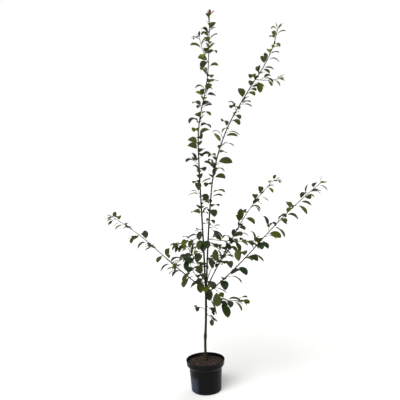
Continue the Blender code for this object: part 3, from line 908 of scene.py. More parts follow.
class Space:
    """The room that is taken: stems first, then every leaf that found a place."""

    def __init__(self, stems, margin):
        self.margin = margin
        self.stems = {}
        self.leaves = []
        for name, stem in stems.items():
            foot = 0.0 if name == "trunk" else TEST_FOOT
            self.stems[name] = tree_of(tube_shape(stem, foot, margin))

    def free(self, owner, leaf):
        """Whether a leaf clears every stem and leaf. Near its own root only the blade counts."""
        whole = tree_of(leaf_shape(leaf))
        blade = tree_of(leaf_shape(leaf, 0.0, 1))
        for name, tree in self.stems.items():
            tested = blade if name in owner else whole
            if tested.overlap(tree):
                return False
        for name, other_whole, other_blade in self.leaves:
            if name == owner and blade.overlap(other_blade):
                return False
            if name != owner and whole.overlap(other_whole):
                return False
        return True

    def take(self, owner, leaf):
        """Keeps the room of a leaf."""
        whole = tree_of(leaf_shape(leaf, self.margin))
        blade = tree_of(leaf_shape(leaf, self.margin, 1))
        self.leaves.append((owner, whole, blade))


def owner_of(shoot):
    """The names of a shoot and the twigs that are one with it, its head first."""
    head = shoot.parent if shoot.twig else shoot.name
    return (head, *[other.name for other in SHOOTS if other.twig and other.parent == head])


def inside_frame(leaf):
    """Whether a whole leaf stays in the frame's box."""
    points = leaf_shape(leaf)[0]
    low = all(point[axis] > cad_low[axis] for point in points for axis in range(3))
    high = all(point[axis] < cad_high[axis] for point in points for axis in range(3))
    return low and high


def eased_in(leaf):
    """A leaf of the frame made shorter until it fits the frame's box, or is at its shortest."""
    least = leaf.length * LEAST_EASED
    while leaf.length > least and not inside_frame(leaf):
        leaf.length *= BOX_EASE
    return leaf


def settled(space, owner, shoot, leaves):
    """The leaves that find room, as (shoot, leaf). Each then takes its room."""
    found = []
    for leaf in leaves:
        if space.free(owner, leaf):
            space.take(owner, leaf)
            found.append((shoot, leaf))
    return found


def frame_leaves(space):
    """The frame's own leaves and spur twigs, as (shoot, leaf) and twig lists."""
    placed = []
    spurs = []
    for shoot in SHOOTS:
        if shoot.twig:
            continue
        owner = owner_of(shoot)
        for member in [other for other in SHOOTS if other.name in owner]:
            stem = stems[member.name]
            dice = random.Random(f"{GROWTH_SEED} {member.name}")
            leaves, twigs = leaves_on(member, stem, dice)
            leaves = [eased_in(leaf) for leaf in leaves + tuft_of_leaves(member, stem, dice)]
            placed += settled(space, owner, member, leaves)
            spurs += twigs
    return placed, spurs


def finer_leaves(space):
    """The finer round: smaller leaves between those of the frame."""
    placed = []
    spurs = []
    for shoot in SHOOTS:
        if shoot.length < FINER_FROM:
            continue
        spacing = shoot.spacing * FINER_SPACING
        finer = replace(shoot, leaf=shoot.leaf * FINER_LEAF, spacing=spacing, droop=FINER_DROOP)
        dice = random.Random(f"{GROWTH_SEED} finer {shoot.name}")
        leaves, twigs = leaves_on(finer, stems[shoot.name], dice)
        leaves = [leaf for leaf in leaves if inside_frame(leaf)]
        placed += settled(space, owner_of(shoot), shoot, leaves)
        spurs += twigs
    return placed, spurs


space = Space(stems, SEAT * 2)
placed, spurs = frame_leaves(space)
print(len(placed), "leaves of the frame,", len(spurs), "spurs")
more_placed, more_spurs = finer_leaves(space)
placed += more_placed
spurs += more_spurs
print(len(more_placed), "finer leaves,", len(more_spurs), "finer spurs")

# %% [markdown]
# ## Finishes
#
# A finish is a Principled shader with a little of what the real surface does: a changing
# roughness, a fine bump and, on all but the leaves, cloudy colour. All of it is procedural, read
# from Object coordinates or from values that ride on the mesh. Numbers that are even all over go
# straight on the shader's socket.

# %% A finish in the making
DULL_SHINE = 0.18
MIDDLE = (0.3, 0.7)


class Finish(Graph):
    """A material whose shader is fed by a few nodes."""

    def __init__(self, name, colour, roughness, shine=DULL_SHINE):
        self.material = bpy.data.materials.new(name)
        self.material.use_nodes = True
        super().__init__(self.material.node_tree)
        self.shader = self.tree.nodes["Principled BSDF"]
        self.shader.inputs["Base Color"].default_value = (*colour, 1)
        self.shader.inputs["Roughness"].default_value = roughness
        self.shader.inputs["Specular IOR Level"].default_value = shine
        self.place = self.add("ShaderNodeTexCoord", give="Object")

    def field(self, name, give="Fac"):
        """A number that the mesh carries, or a vector."""
        return self.add("ShaderNodeAttribute", give=give, attribute_name=name)

    def mix(self, share, *colours):
        """A colour between two, by a share. A colour is a wire or three plain numbers."""
        first, second = [(*colour, 1) if isinstance(colour, tuple) else colour for colour in colours]
        feeds = {"Factor": share, "A": first, "B": second}
        return self.add("ShaderNodeMix", feeds, data_type="RGBA")

    def feed(self, name, wire):
        """Links a wire to the shader."""
        self.tree.links.new(wire.socket, self.shader.inputs[name])

    def rough(self, cloud, low, high):
        """A roughness that follows a cloud."""
        self.feed("Roughness", cloud.between(*MIDDLE, low, high))

    def bump(self, height, strength, distance):
        """A fine relief."""
        feeds = {"Strength": strength, "Distance": distance, "Height": height}
        self.feed("Normal", self.add("ShaderNodeBump", feeds))


# %% [markdown]
# ## The pot
#
# The pot is blown or moulded black plastic: a thin wall, a deep collar with a rolled lip, faint
# flutes down its side and a rounded heel. A turned profile gives the main form. Geometry Nodes
# then press in the flutes and let the lip wander by a fraction of a millimetre, as thin plastic
# does. The eight drain holes are cut last with a Boolean.

# %% The pot's profile
POT_SIDES = 144
POT_FLOOR = 0.003
POT_SPACING = 0.006
POT_SHARP = 40
ROUND_STEPS = 4
AXIS_REACH = 1e-6
POT_CORNERS = (
    (0.0, POT_FLOOR, 0.0),
    (0.0880, POT_FLOOR, 0.004),
    (0.0990, 0.1490, 0.004),
    (0.1143, 0.1650, 0.003),
    (0.1160, 0.1925, 0.0015),
    (0.1168, 0.1948, 0.0006),
    (0.1196, 0.1948, 0.0008),
    (0.1200, 0.1915, 0.0008),
    (0.1188, 0.1895, 0.0008),
    (0.1165, 0.1640, 0.0016),
    (0.1100, 0.1560, 0.0030),
    (0.1018, 0.1475, 0.0012),
    (0.0928, 0.0062, 0.0034),
    (0.0880, 0.0000, 0.0020),
    (0.0800, 0.0000, 0.0010),
    (0.0780, 0.0016, 0.0010),
    (0.0, 0.0016, 0.0),
)


def eased(corners):
    """A profile with round corners, from (radius, height, easing) corners."""
    profile = []
    for index, (radius, height, easing) in enumerate(corners):
        here = Vector((radius, height))
        if easing == 0.0:
            profile.append(here)
            continue
        before = Vector(corners[index - 1][:2])
        after = Vector(corners[index + 1][:2])
        start = here + (before - here).normalized() * easing
        end = here + (after - here).normalized() * easing
        for step in range(ROUND_STEPS + 1):
            share = step / ROUND_STEPS
            profile.append(start.lerp(here, share).lerp(here.lerp(end, share), share))
    return profile


def divided(profile, spacing):
    """The same profile with no run longer than the spacing."""
    points = [profile[0]]
    for near, far in zip(profile, profile[1:]):
        count = max(1, math.ceil((far - near).length / spacing))
        points += [near.lerp(far, (index + 1) / count) for index in range(count)]
    return points


def ring_of(shape, radius, height, sides):
    """A ring of points round the upright axis. On the axis it is one point, met many times."""
    if radius < AXIS_REACH:
        return [shape.verts.new((0, 0, height))] * sides
    turns = [math.tau * index / sides for index in range(sides)]
    return [shape.verts.new((radius * math.cos(turn), radius * math.sin(turn), height)) for turn in turns]


def join_rings(shape, rings):
    """The faces from each ring to the next."""
    for near, far in zip(rings, rings[1:]):
        for index in range(len(near)):
            beside = (index + 1) % len(near)
            shape.faces.new(dict.fromkeys((near[index], near[beside], far[beside], far[index])))


def turned(name, profile, sides):
    """A closed turned mesh. The profile starts and ends on the axis."""
    shape = bmesh.new()
    join_rings(shape, [ring_of(shape, radius, height, sides) for radius, height in profile])
    bmesh.ops.recalc_face_normals(shape, faces=shape.faces)
    if shape.calc_volume(signed=True) < 0:
        bmesh.ops.reverse_faces(shape, faces=shape.faces)
    return mesh_of(shape, name)


def smooth(mesh, angle):
    """Smooth shading, with edges kept sharp over an angle in degrees."""
    mesh.shade_smooth()
    mesh.set_sharp_from_angle(angle=math.radians(angle))


# %% [markdown]
# ## Pressing the flutes
#
# The tree reads each point's place, works out its turn round the axis, and presses the wall in by
# a cosine of that turn. A window along the height keeps the flutes off the collar and the heel.
# The lip's wander is slow noise on the same turn, so its start meets its end.

# %% Flutes, lip and drains
FLUTE_FOOT_END = 0.030
FLUTE_TOP_START = 0.128
LIP_FROM = 0.165
LIP_MEAN = 0.62
LIP_DROP = 1.6
WALL_MEAN = 0.60
WALL_SHIFT = (0, 0, 7.0)
DRAIN_COUNT = 8
DRAIN_WIDTH = 0.014
DRAIN_HEIGHT = 0.009
DRAIN_DEPTH = 0.014
DRAIN_CENTRE = (0.0890, 0.0081)
DRAIN_ROUND = 0.003


def flutes(finish):
    """The tree that presses the flutes and lets the lip wander."""
    tree = Growth(
        "pot_wall", Flutes=24.0, Flute_depth=0.0010, Flute_top=0.142, Flute_foot=0.012,
        Lip_wander=0.0011, Wall_wander=0.0006,
    )
    x, y, z = tree.place.parts()
    out = tree.joined(x, y, 0.0).step("NORMALIZE")
    wave = (y.step("ARCTAN2", x) * tree.input("Flutes")).step("COSINE")
    foot = z.between(tree.input("Flute_foot"), FLUTE_FOOT_END)
    window = foot * z.between(FLUTE_TOP_START, tree.input("Flute_top"), 1.0, 0.0)
    pressed = (wave - 1.0) * 0.5 * (tree.input("Flute_depth") * window)
    lip = z.between(LIP_FROM, POT_HEIGHT)
    wander = ((out * 1.4).noise(1.0, 1.0) - LIP_MEAN) * tree.input("Lip_wander")
    swing = (out * 1.1 + tree.joined(*WALL_SHIFT)).noise(1.0, 1.0)
    wall = (swing - WALL_MEAN) * tree.input("Wall_wander") * window
    drop = (wander * LIP_DROP * lip).step("MINIMUM", 0.0)
    offset = out * (pressed + wall + wander * lip) + tree.joined(0.0, 0.0, drop)
    tree.result = tree.finish(tree.real(tree.moved(tree.mesh, Offset=offset)), finish)
    return tree


POT_BLACK = (0.003, 0.0032, 0.0036)
POT_ROUGHNESS = 0.36
POT_SHINE = 0.085
POT_CLOUD = (22.0, 5.0, 0.6)
POT_FINE = (210.0, 3.0, 0.6)
SCRATCH = (420.0, 2.0, 0.6)
SCRATCH_STRETCH = (1.0, 1.0, 0.12)
DUST_TONES = ((0.0022, 0.0025, 0.0030), (0.016, 0.015, 0.014))
DUST_TOP = 0.075
LIME_TONE = (0.22, 0.21, 0.20)
LIME_STRENGTH = 0.55
LIME_STREAKS = (130.0, 6.0, 0.75)
LIME_PATCHES = (16.0, 2.0)
# Painted reflection: a bluish tone mixed into the colour low on the pot's left, for a cool light mirrored
# there.
PAINTED_REFLECTION_TONE = (0.026, 0.032, 0.052)
PAINTED_REFLECTION_SIDE = (-0.83, -0.56, 0.0)
PAINTED_REFLECTION_TOP = 0.108
PAINTED_REFLECTION_FADE = 0.016


def painted_reflection_share(finish, cloud):
    """How much painted bluish reflection lies on the plastic: one soft patch low on its left."""
    x, y, z = finish.place.parts()
    level = finish.joined(x, y, 0.0)
    side = level.step("NORMALIZE").step("DOT_PRODUCT", PAINTED_REFLECTION_SIDE).between(0.88, 0.97)
    height = z.between(PAINTED_REFLECTION_TOP, PAINTED_REFLECTION_TOP - PAINTED_REFLECTION_FADE)
    outside = level.step("LENGTH").between(0.088, 0.090)
    return side * height * cloud.between(0.25, 0.65, 0.55, 1.0) * outside


def lime_share(finish):
    """How much lime has dried inside the lip: streaks in patches, along one line."""
    x, y, z = finish.place.parts()
    inside = finish.joined(x, y, 0.0).step("LENGTH").between(0.1168, 0.1163)
    line = z.between(0.174, 0.178) * z.between(0.192, 0.186)
    patches = finish.place.noise(*LIME_PATCHES).between(0.48, 0.66)
    return finish.place.noise(*LIME_STREAKS).between(0.46, 0.66) * patches * line * inside


def pot_finish():
    """Black moulded plastic: satin, a little dusty low down, with pale lime inside the lip."""
    finish = Finish("pot_plastic", POT_BLACK, POT_ROUGHNESS, POT_SHINE)
    height = finish.place.parts()[2]
    cloud = finish.place.noise(*POT_CLOUD)
    fine = finish.place.noise(*POT_FINE)
    dust = (cloud + fine * 0.3).between(0.58, 0.92) * height.between(0.0, DUST_TOP, 0.55, 0.10)
    lime = lime_share(finish)
    colour = finish.mix(dust, *DUST_TONES)
    colour = finish.mix(lime * LIME_STRENGTH, colour, LIME_TONE)
    # A painted reflection, not a change in the plastic: a soft bluish patch low on the left, laid into the
    # colour.
    colour = finish.mix(painted_reflection_share(finish, cloud), colour, PAINTED_REFLECTION_TONE)
    finish.feed("Base Color", colour)
    finish.feed("Roughness", cloud.between(0.35, 0.75, 0.30, 0.46).step("MAXIMUM", lime * 0.8))
    scratch = (finish.place * SCRATCH_STRETCH).noise(*SCRATCH)
    finish.bump(scratch * 0.4 + fine, 0.25, 0.0004)
    return finish.material


def drain_cutter():
    """One block for each drain hole, with its upright edges rounded."""
    shape = bmesh.new()
    for index in range(DRAIN_COUNT):
        turn = Matrix.Rotation(math.tau * (index + 0.5) / DRAIN_COUNT, 4, "Z")
        place = turn @ Matrix.Translation((DRAIN_CENTRE[0], 0, DRAIN_CENTRE[1]))
        size = Matrix.Diagonal((DRAIN_DEPTH, DRAIN_WIDTH, DRAIN_HEIGHT, 1))
        made = bmesh.ops.create_cube(shape, size=1.0, matrix=place @ size)
        back = turn.to_3x3().inverted()
        lengthways = [
            edge for edge in {edge for vertex in made["verts"] for edge in vertex.link_edges}
            if abs((back @ (edge.verts[0].co - edge.verts[1].co)).x) > DRAIN_DEPTH / 2
        ]
        bmesh.ops.bevel(
            shape, geom=lengthways, offset=DRAIN_ROUND, segments=3, affect="EDGES", profile=0.5
        )
    return linked("drains", mesh_of(shape, "drains"))


def cut_drains(piece):
    """Cuts the drain holes through the wall just above the floor."""
    cutter = drain_cutter()
    step = piece.modifiers.new("drains", "BOOLEAN")
    step.object = cutter
    step.solver = "EXACT"
    make_plain(piece)
    bpy.data.objects.remove(cutter)


profile = divided(eased(POT_CORNERS), POT_SPACING)
pot = flutes(pot_finish()).run("nursery_pot", turned("pot_profile", profile, POT_SIDES))
cut_drains(pot)
smooth(pot.data, POT_SHARP)
dress(pot, "pot", "pot")

# %% [markdown]
# ## The compost
#
# Compost is never flat. It heaps up round the trunk and is lumpy all over, and its surface is
# loose crumbs with paler chips of bark and grit. One closed plug carries the broad relief.
# Geometry Nodes scatter crumbs, chips and grit over it, each kind as one joined piece, because
# the export keeps meshes and drops scattered copies.

# %% The plug and its relief
SOIL_RADIUS = 0.1148
SOIL_SIDES = 128
SOIL_SIDE = ((0.1138, 0.1655), (0.0982, 0.1488), (0.0875, 0.0034), (0.0, 0.0034))
SOIL_SHARP = 50
TOP_RING = 0.0024
HEAP_REACH = 0.075
LUMP_MEAN = 0.62
COMPOST_TONES = ((0.010, 0.008, 0.007), (0.046, 0.029, 0.022))
COMPOST_SCALE = 34.0
SOIL_CLOUD = (6.0, 0.65)
SOIL_GRAIN = (4.0, 0.7)
GRAIN_FINENESS = 9


def soil_profile():
    """The plug's profile, close-ringed on top."""
    rings = round(SOIL_RADIUS / TOP_RING)
    top = [Vector((SOIL_RADIUS * index / rings, SOIL_LEVEL)) for index in range(rings + 1)]
    return top + [Vector(corner) for corner in SOIL_SIDE]


def soil_tree(finish):
    """The tree that heaps the plug's top."""
    tree = Growth(
        "compost_top", Heap=0.0040, Lumps=0.0110, Lump_scale=48.0, Crumble=0.0060, Crumble_scale=170.0,
    )
    x, y, z = tree.place.parts()
    on_top = z.between(SOIL_LEVEL - 0.004, SOIL_LEVEL - 0.001)
    away = tree.joined(x - TRUNK_FOOT[0], y - TRUNK_FOOT[1], 0.0).step("LENGTH")
    heap = away.between(0.0, HEAP_REACH, 1.0, 0.0) * tree.input("Heap")
    lump = (tree.place.noise(tree.input("Lump_scale"), 3.0) - LUMP_MEAN) * tree.input("Lumps")
    crumb = (tree.place.noise(tree.input("Crumble_scale"), 2.0) - 0.5) * tree.input("Crumble")
    offset = tree.joined(0.0, 0.0, (heap + (lump + crumb)) * on_top)
    tree.result = tree.finish(tree.real(tree.moved(tree.mesh, Offset=offset)), finish)
    return tree


def soil_finish(name, dark, light, scale):
    """Damp organic matter: two browns in cloudy patches, dull, with a deep bump."""
    finish = Finish(name, dark, 0.95)
    cloud = finish.place.noise(scale, *SOIL_CLOUD)
    finish.feed("Base Color", finish.mix(cloud.between(0.38, 0.68), dark, light))
    finish.rough(cloud, 0.98, 0.82)
    finish.bump(finish.place.noise(scale * GRAIN_FINENESS, *SOIL_GRAIN), 0.7, 0.0012)
    return finish.material


compost = soil_finish("compost", *COMPOST_TONES, COMPOST_SCALE)
soil = soil_tree(compost).run("compost_plug", turned("compost_profile", soil_profile(), SOIL_SIDES))
smooth(soil.data, SOIL_SHARP)
dress(soil, "soil", "soil")

# %% [markdown]
# ## Crumbs, chips, grit and moss
#
# One kind of tree scatters them all. Its inputs are how many stand on a square metre, how large
# they are, how flat and how rough. The moss keeps to one small patch. A ball of twenty faces,
# squashed and turned at random, then roughened by noise, is enough for a crumb two or three
# millimetres across.

# %% Scatter over the compost
SCATTER_LIMIT = 0.109
SCATTER_DEPTH = 0.012
LEAST_UP = 0.3
LUMP_BREADTH = 0.72
LUMP_TURN = {"Min": (-0.5, -0.5, 0.0), "Max": (0.5, 0.5, math.tau)}
GRAIN_SCALE = 900.0
ALL_OVER = (0.0, 0.0, 1.0)
MOSS_PATCH = (-0.016, -0.074, 0.019)


@dataclass
class Scatter:
    """One kind of lump: its two tones and their scale, how many and how large, and where."""

    name: str
    dark: tuple
    light: tuple
    scale: float
    density: float
    sizes: tuple
    flatness: float
    seed: int
    patch: tuple = ALL_OVER


SCATTERS = (
    Scatter(
        "compost_crumbs", (0.010, 0.008, 0.007), (0.048, 0.031, 0.024), 40.0,
        density=90000.0, sizes=(0.0014, 0.0046), flatness=0.8, seed=3,
    ),
    Scatter(
        "compost_clods", (0.015, 0.010, 0.009), (0.078, 0.047, 0.032), 30.0,
        density=13000.0, sizes=(0.0040, 0.0095), flatness=0.7, seed=7,
    ),
    Scatter(
        "bark_chips", (0.050, 0.030, 0.020), (0.140, 0.092, 0.060), 70.0,
        density=4200.0, sizes=(0.004, 0.011), flatness=0.28, seed=11,
    ),
    Scatter(
        "pale_grit", (0.22, 0.20, 0.19), (0.42, 0.40, 0.38), 300.0,
        density=2600.0, sizes=(0.0014, 0.0042), flatness=0.8, seed=5,
    ),
    Scatter(
        "moss_tuft", (0.020, 0.026, 0.008), (0.060, 0.066, 0.020), 90.0,
        density=420000.0, sizes=(0.0008, 0.0024), flatness=1.2, seed=8, patch=MOSS_PATCH,
    ),
)


def scatter_tree(kind, finish):
    """The tree that scatters small lumps over the compost's top."""
    tree = Growth(
        kind.name, Density=kind.density, Smallest=kind.sizes[0], Largest=kind.sizes[1],
        Flatness=kind.flatness, Seed=kind.seed, Roughness=0.35,
    )
    seed = {"Seed": tree.input("Seed")}
    x, y, z = tree.place.parts()
    up = tree.add("GeometryNodeInputNormal").parts()[2]
    away = tree.joined(x - kind.patch[0], y - kind.patch[1], 0.0).step("LENGTH")
    near = away.step("LESS_THAN", kind.patch[2])
    within = tree.joined(x, y, 0.0).step("LENGTH").step("LESS_THAN", SCATTER_LIMIT)
    top = up.step("GREATER_THAN", LEAST_UP) * z.step("GREATER_THAN", SOIL_LEVEL - SCATTER_DEPTH)
    feeds = {"Mesh": tree.mesh, "Selection": near * within * top, "Density": tree.input("Density")}
    points = tree.add("GeometryNodeDistributePointsOnFaces", feeds | seed)
    ball = tree.add("GeometryNodeMeshIcoSphere", {"Radius": 0.5, "Subdivisions": 1})
    spread = {"Min": tree.input("Smallest"), "Max": tree.input("Largest")}
    size = tree.add("FunctionNodeRandomValue", spread | seed, data_type="FLOAT")
    turn = tree.add("FunctionNodeRandomValue", LUMP_TURN | seed, data_type="FLOAT_VECTOR")
    squash = tree.joined(size, size * LUMP_BREADTH, size * tree.input("Flatness"))
    lumps = tree.copies(points, ball, Rotation=turn, Scale=squash)
    wild = tree.add("ShaderNodeTexNoise", {"Vector": tree.place, "Scale": GRAIN_SCALE}, give=1)
    shift = (wild - (0.5, 0.5, 0.5)) * (tree.input("Largest") * tree.input("Roughness"))
    tree.result = tree.finish(tree.moved(lumps, Offset=shift), finish)
    return tree


for kind in SCATTERS:
    finish = soil_finish(kind.name.removesuffix("_tuft"), kind.dark, kind.light, kind.scale)
    piece = scatter_tree(kind, finish).run(kind.name, soil.data.copy())
    dress(piece, "soil", "soil")

# %% [markdown]
# ## Bark
#
# Plum bark is smooth and dark, with pale lens-shaped pores that lie across the stem, and fine
# long cracks along it. Young wood is a redder brown, with a little more sheen. A stem is a line
# that carries its thickness. Geometry Nodes turn each line into a tube, keep how far round and how
# far along each point lies, and raise the relief from those two numbers.

# %% Lines that carry their thickness
NODE_SWELLING = (0.00045, 0.0032)
COLLAR_PLACE = 0.004
COLLAR = (0.55, 2.6)


def add_swellings():
    """Collars where stems leave their parents, and a knuckle at the root of every leaf."""
    for shoot in LONG + SHORT + SIDE + SPURS + TWIGS:
        stem = stems[shoot.name]
        stem.swellings.append((COLLAR_PLACE, stem.base * COLLAR[0], stem.base * COLLAR[1]))
    for shoot, leaf in placed:
        if leaf.depth:
            stem = stems[shoot.name]
            stem.swellings.append((stem.nearest(leaf.root), *NODE_SWELLING))


def lines_mesh(name, stretches, spacing, bark):
    """A mesh of open lines with a thickness at each point, from (stem, start, end) stretches."""
    points = []
    edges = []
    thickness = []
    for stem, start, end in stretches:
        count = max(3, math.ceil((end - start) / spacing) + 1)
        for index in range(count):
            along = start + (end - start) * index / (count - 1)
            if index:
                edges.append((len(points) - 1, len(points)))
            points.append(stem.point(along))
            thickness.append(stem.radius(along) * bark)
    return points_mesh(name, points, edges, thickness=thickness)


# %% [markdown]
# ## Relief and colour from the same two numbers
#
# The tree and the finish both need to know where the streaks run and how near the next pore is.
# One function works that out for either of them, so the pale marks sit on the raised pores.

# %% The bark's tree and finish
PORE_SPACING = 0.0085
PORE_WIDTH = 0.55
CRACK_STRETCH = 22.0
CRACKS = (4.0, 0.6)
STREAK_STRETCH = 9.0
STREAKS = (1.6, 5.0, 0.6)
SPECKS = (900.0, 3.0, 0.6)
BARK_SHINE = 0.10


def bark_places(graph, stretch, pore_spacing):
    """Where a point of the bark lies for its streaks, and how far it is from the nearest pore."""
    around = graph.field("bark_turn")
    along = graph.field("bark_along")
    cosine = around.step("COSINE")
    sine = around.step("SINE")
    pores = graph.joined(cosine * PORE_WIDTH, sine * PORE_WIDTH, along / pore_spacing)
    cell = graph.add("ShaderNodeTexVoronoi", {"Vector": pores, "Scale": 1.0}, give="Distance")
    return graph.joined(cosine, sine, along * stretch), cell


def bark_tree(name, finish, sides, relief, pores):
    """The tree that turns lines into barked stems."""
    tree = Growth(
        name, Sides=sides, Relief=relief, Pores=pores, Pore_spacing=PORE_SPACING, Crack_scale=3.2
    )
    curve = tree.add("GeometryNodeMeshToCurve", {"Mesh": tree.mesh})
    curve = tree.store(curve, "bark_along", tree.add("GeometryNodeSplineParameter", give="Length"))
    ring = tree.add("GeometryNodeCurvePrimitiveCircle", {"Resolution": tree.input("Sides"), "Radius": 1.0})
    turn = tree.add("GeometryNodeSplineParameter", give="Factor") * math.tau
    ring = tree.store(ring, "bark_turn", turn)
    thick = tree.field("thickness")
    feeds = {"Curve": curve, "Profile Curve": ring, "Scale": thick, "Fill Caps": True}
    tube = tree.add("GeometryNodeCurveToMesh", feeds)
    streaks, cell = bark_places(tree, CRACK_STRETCH, tree.input("Pore_spacing"))
    cracks = (streaks.noise(tree.input("Crack_scale"), *CRACKS) - 0.5) * tree.input("Relief")
    pore = cell.between(0.10, 0.26, 1.0, 0.0) * tree.input("Pores")
    offset = tree.add("GeometryNodeInputNormal") * ((cracks + pore) * thick)
    barked = tree.real(tree.moved(tube, Offset=offset))
    tree.result = tree.finish(tree.add("GeometryNodeSetShadeSmooth", {"Geometry": barked}), finish)
    return tree


def bark_finish(name, dark, light, pore_colour, gloss):
    """Bark: two tones in long streaks, pale pores across it, and a sheen on the young wood."""
    finish = Finish(name, dark, 0.7, BARK_SHINE)
    streaks, cell = bark_places(finish, STREAK_STRETCH, PORE_SPACING)
    streak = streaks.noise(*STREAKS)
    speck = finish.place.noise(*SPECKS)
    share = streak.between(0.36, 0.66) + speck.between(0.3, 0.8, -0.2, 0.2)
    pore = cell.between(0.10, 0.20, 0.8, 0.0)
    finish.feed("Base Color", finish.mix(pore, finish.mix(share, dark, light), pore_colour))
    finish.rough(streak, gloss, gloss + 0.2)
    finish.bump(speck + streak, 0.5, 0.0005)
    return finish.material


# %% [markdown]
# ## Trunk, boughs and shoots
#
# Three pieces are swept in the same way with different sizes: the trunk, the five main boughs,
# and all the shoots and spurs. The trunk's top closes over in a dome. The two leading stems start
# four centimetres lower, in the middle of the trunk, so the fork reads as one grown joint.

# %% Sweep the stems
DOME = 0.009
LEAST_DOME = 0.04
FORK_DEPTH = 0.042


@dataclass
class Bark:
    """One kind of bark: three tones and a gloss, then how finely and how thickly it is swept."""

    name: str
    dark: tuple
    light: tuple
    pores: tuple
    gloss: float
    sides: int
    relief: float
    pore_rise: float
    ring: float
    growth: float

    def sweep(self, mesh):
        """The piece that this bark makes of a mesh of lines."""
        finish = bark_finish(self.name, self.dark, self.light, self.pores, self.gloss)
        return bark_tree(self.name, finish, self.sides, self.relief, self.pore_rise).run(self.name, mesh)


TRUNK_BARK = Bark(
    "trunk_bark", (0.012, 0.010, 0.006), (0.048, 0.039, 0.024), (0.110, 0.084, 0.056), 0.62,
    sides=28, relief=0.16, pore_rise=0.06, ring=0.0018, growth=1.10,
)
BOUGH_BARK = Bark(
    "bough_bark", (0.010, 0.008, 0.006), (0.034, 0.026, 0.020), (0.090, 0.066, 0.048), 0.58,
    sides=16, relief=0.10, pore_rise=0.10, ring=0.0030, growth=1.20,
)
SHOOT_BARK = Bark(
    "shoot_bark", (0.018, 0.012, 0.009), (0.050, 0.035, 0.026), (0.110, 0.078, 0.056), 0.54,
    sides=10, relief=0.10, pore_rise=0.10, ring=0.0034, growth=1.10,
)


class RootedStem:
    """A leading stem drawn down into the trunk, so that the fork reads as one grown joint."""

    def __init__(self, stem, parent, side):
        self.stem = stem
        self.parent = parent
        self.side = side

    def point(self, along):
        """The place on the axis. Below its start it eases to the middle of the trunk."""
        if along >= 0:
            return self.stem.point(along)
        share = -along / FORK_DEPTH
        ease = 1 - share**2 * (3 - 2 * share)
        return self.parent.point(self.parent.length + along) + Vector((self.side * ease, 0, 0))

    def radius(self, along):
        """The stem's own thickness, even below its start."""
        return self.stem.radius(max(along, 0.0))


def trunk_lines():
    """The trunk's line, with a domed top."""
    stem = stems["trunk"]
    mesh = lines_mesh("trunk_line", [(stem, 0.0, stem.length)], TRUNK_BARK.ring, TRUNK_BARK.growth)
    heights = [vertex.co.z for vertex in mesh.vertices]
    top = max(heights)
    thickness = mesh.attributes["thickness"].data
    for index, height in enumerate(heights):
        past = max(0.0, 1 - (top - height) / DOME)
        thickness[index].value *= math.sqrt(max(LEAST_DOME, 1 - past**2))
    return mesh


def bough_lines():
    """The lines of the five main boughs, the leading stems rooted in the trunk."""
    stretches = [(stems[shoot.name], 0.0, shoot.length) for shoot in LONG]
    for shoot in LEADING:
        rooted = RootedStem(stems[shoot.name], stems["trunk"], shoot.side)
        stretches.append((rooted, -FORK_DEPTH, shoot.length))
    return lines_mesh("bough_lines", stretches, BOUGH_BARK.ring, BOUGH_BARK.growth)


def shoot_lines():
    """The lines of all the shorter shoots and of the spurs."""
    stretches = [(stems[shoot.name], 0.0, shoot.length) for shoot in SHORT + SIDE + SPURS + TWIGS]
    stretches += [(twig, 0.0, twig.length) for twig in spurs]
    return lines_mesh("shoot_lines", stretches, SHOOT_BARK.ring, SHOOT_BARK.growth)


add_swellings()
BOUGHS = [shoot.name + "_bough" for shoot in LEADING + LONG]
MASSES = [shoot.name + "_foliage" for shoot in SHOOTS if not shoot.twig]
dress(TRUNK_BARK.sweep(trunk_lines()), "bark", "trunk")
dress(BOUGH_BARK.sweep(bough_lines()), "bark", *BOUGHS)
dress(SHOOT_BARK.sweep(shoot_lines()), "bark", *MASSES)

# %% [markdown]
# ## Leaves
#
# A plum leaf is an oval, a little wider past its middle, folded up along its rib and paler
# beneath. One leaf of eighty-nine faces is modelled flat. Its points don't hold places but
# instructions: how far along the stalk, how far along the blade, how far to the side. Geometry
# Nodes copy it to every root and then let each point find its place along that leaf's own arch.
# Both skins are cut along the same diagonals, from the rim up to the rib, so that neither pokes
# through the other when the blade twists.

# %% One flat leaf
STALK_RINGS = ((0.0, 1.3), (0.12, 0.8), (0.6, 0.75), (1.0, 0.9))
STATIONS = (0.04, 0.12, 0.23, 0.36, 0.50, 0.64, 0.77, 0.88, 0.96)
BLADE_SKIN = 0.0018
RIB_DEPTH = 0.011
RIB_LOST = 0.75
SQUARE = ((-1, 0), (0, 1), (1, 0), (0, -1))
UPPER, UNDER, STALK = 0, 1, 2
LABELS = (UPPER, UPPER, UNDER, UNDER)


def blade_width(share):
    """The half width of the blade at a share of its length, up to 1."""
    return 3.02 * share**0.85 * (1 - share) ** 0.75


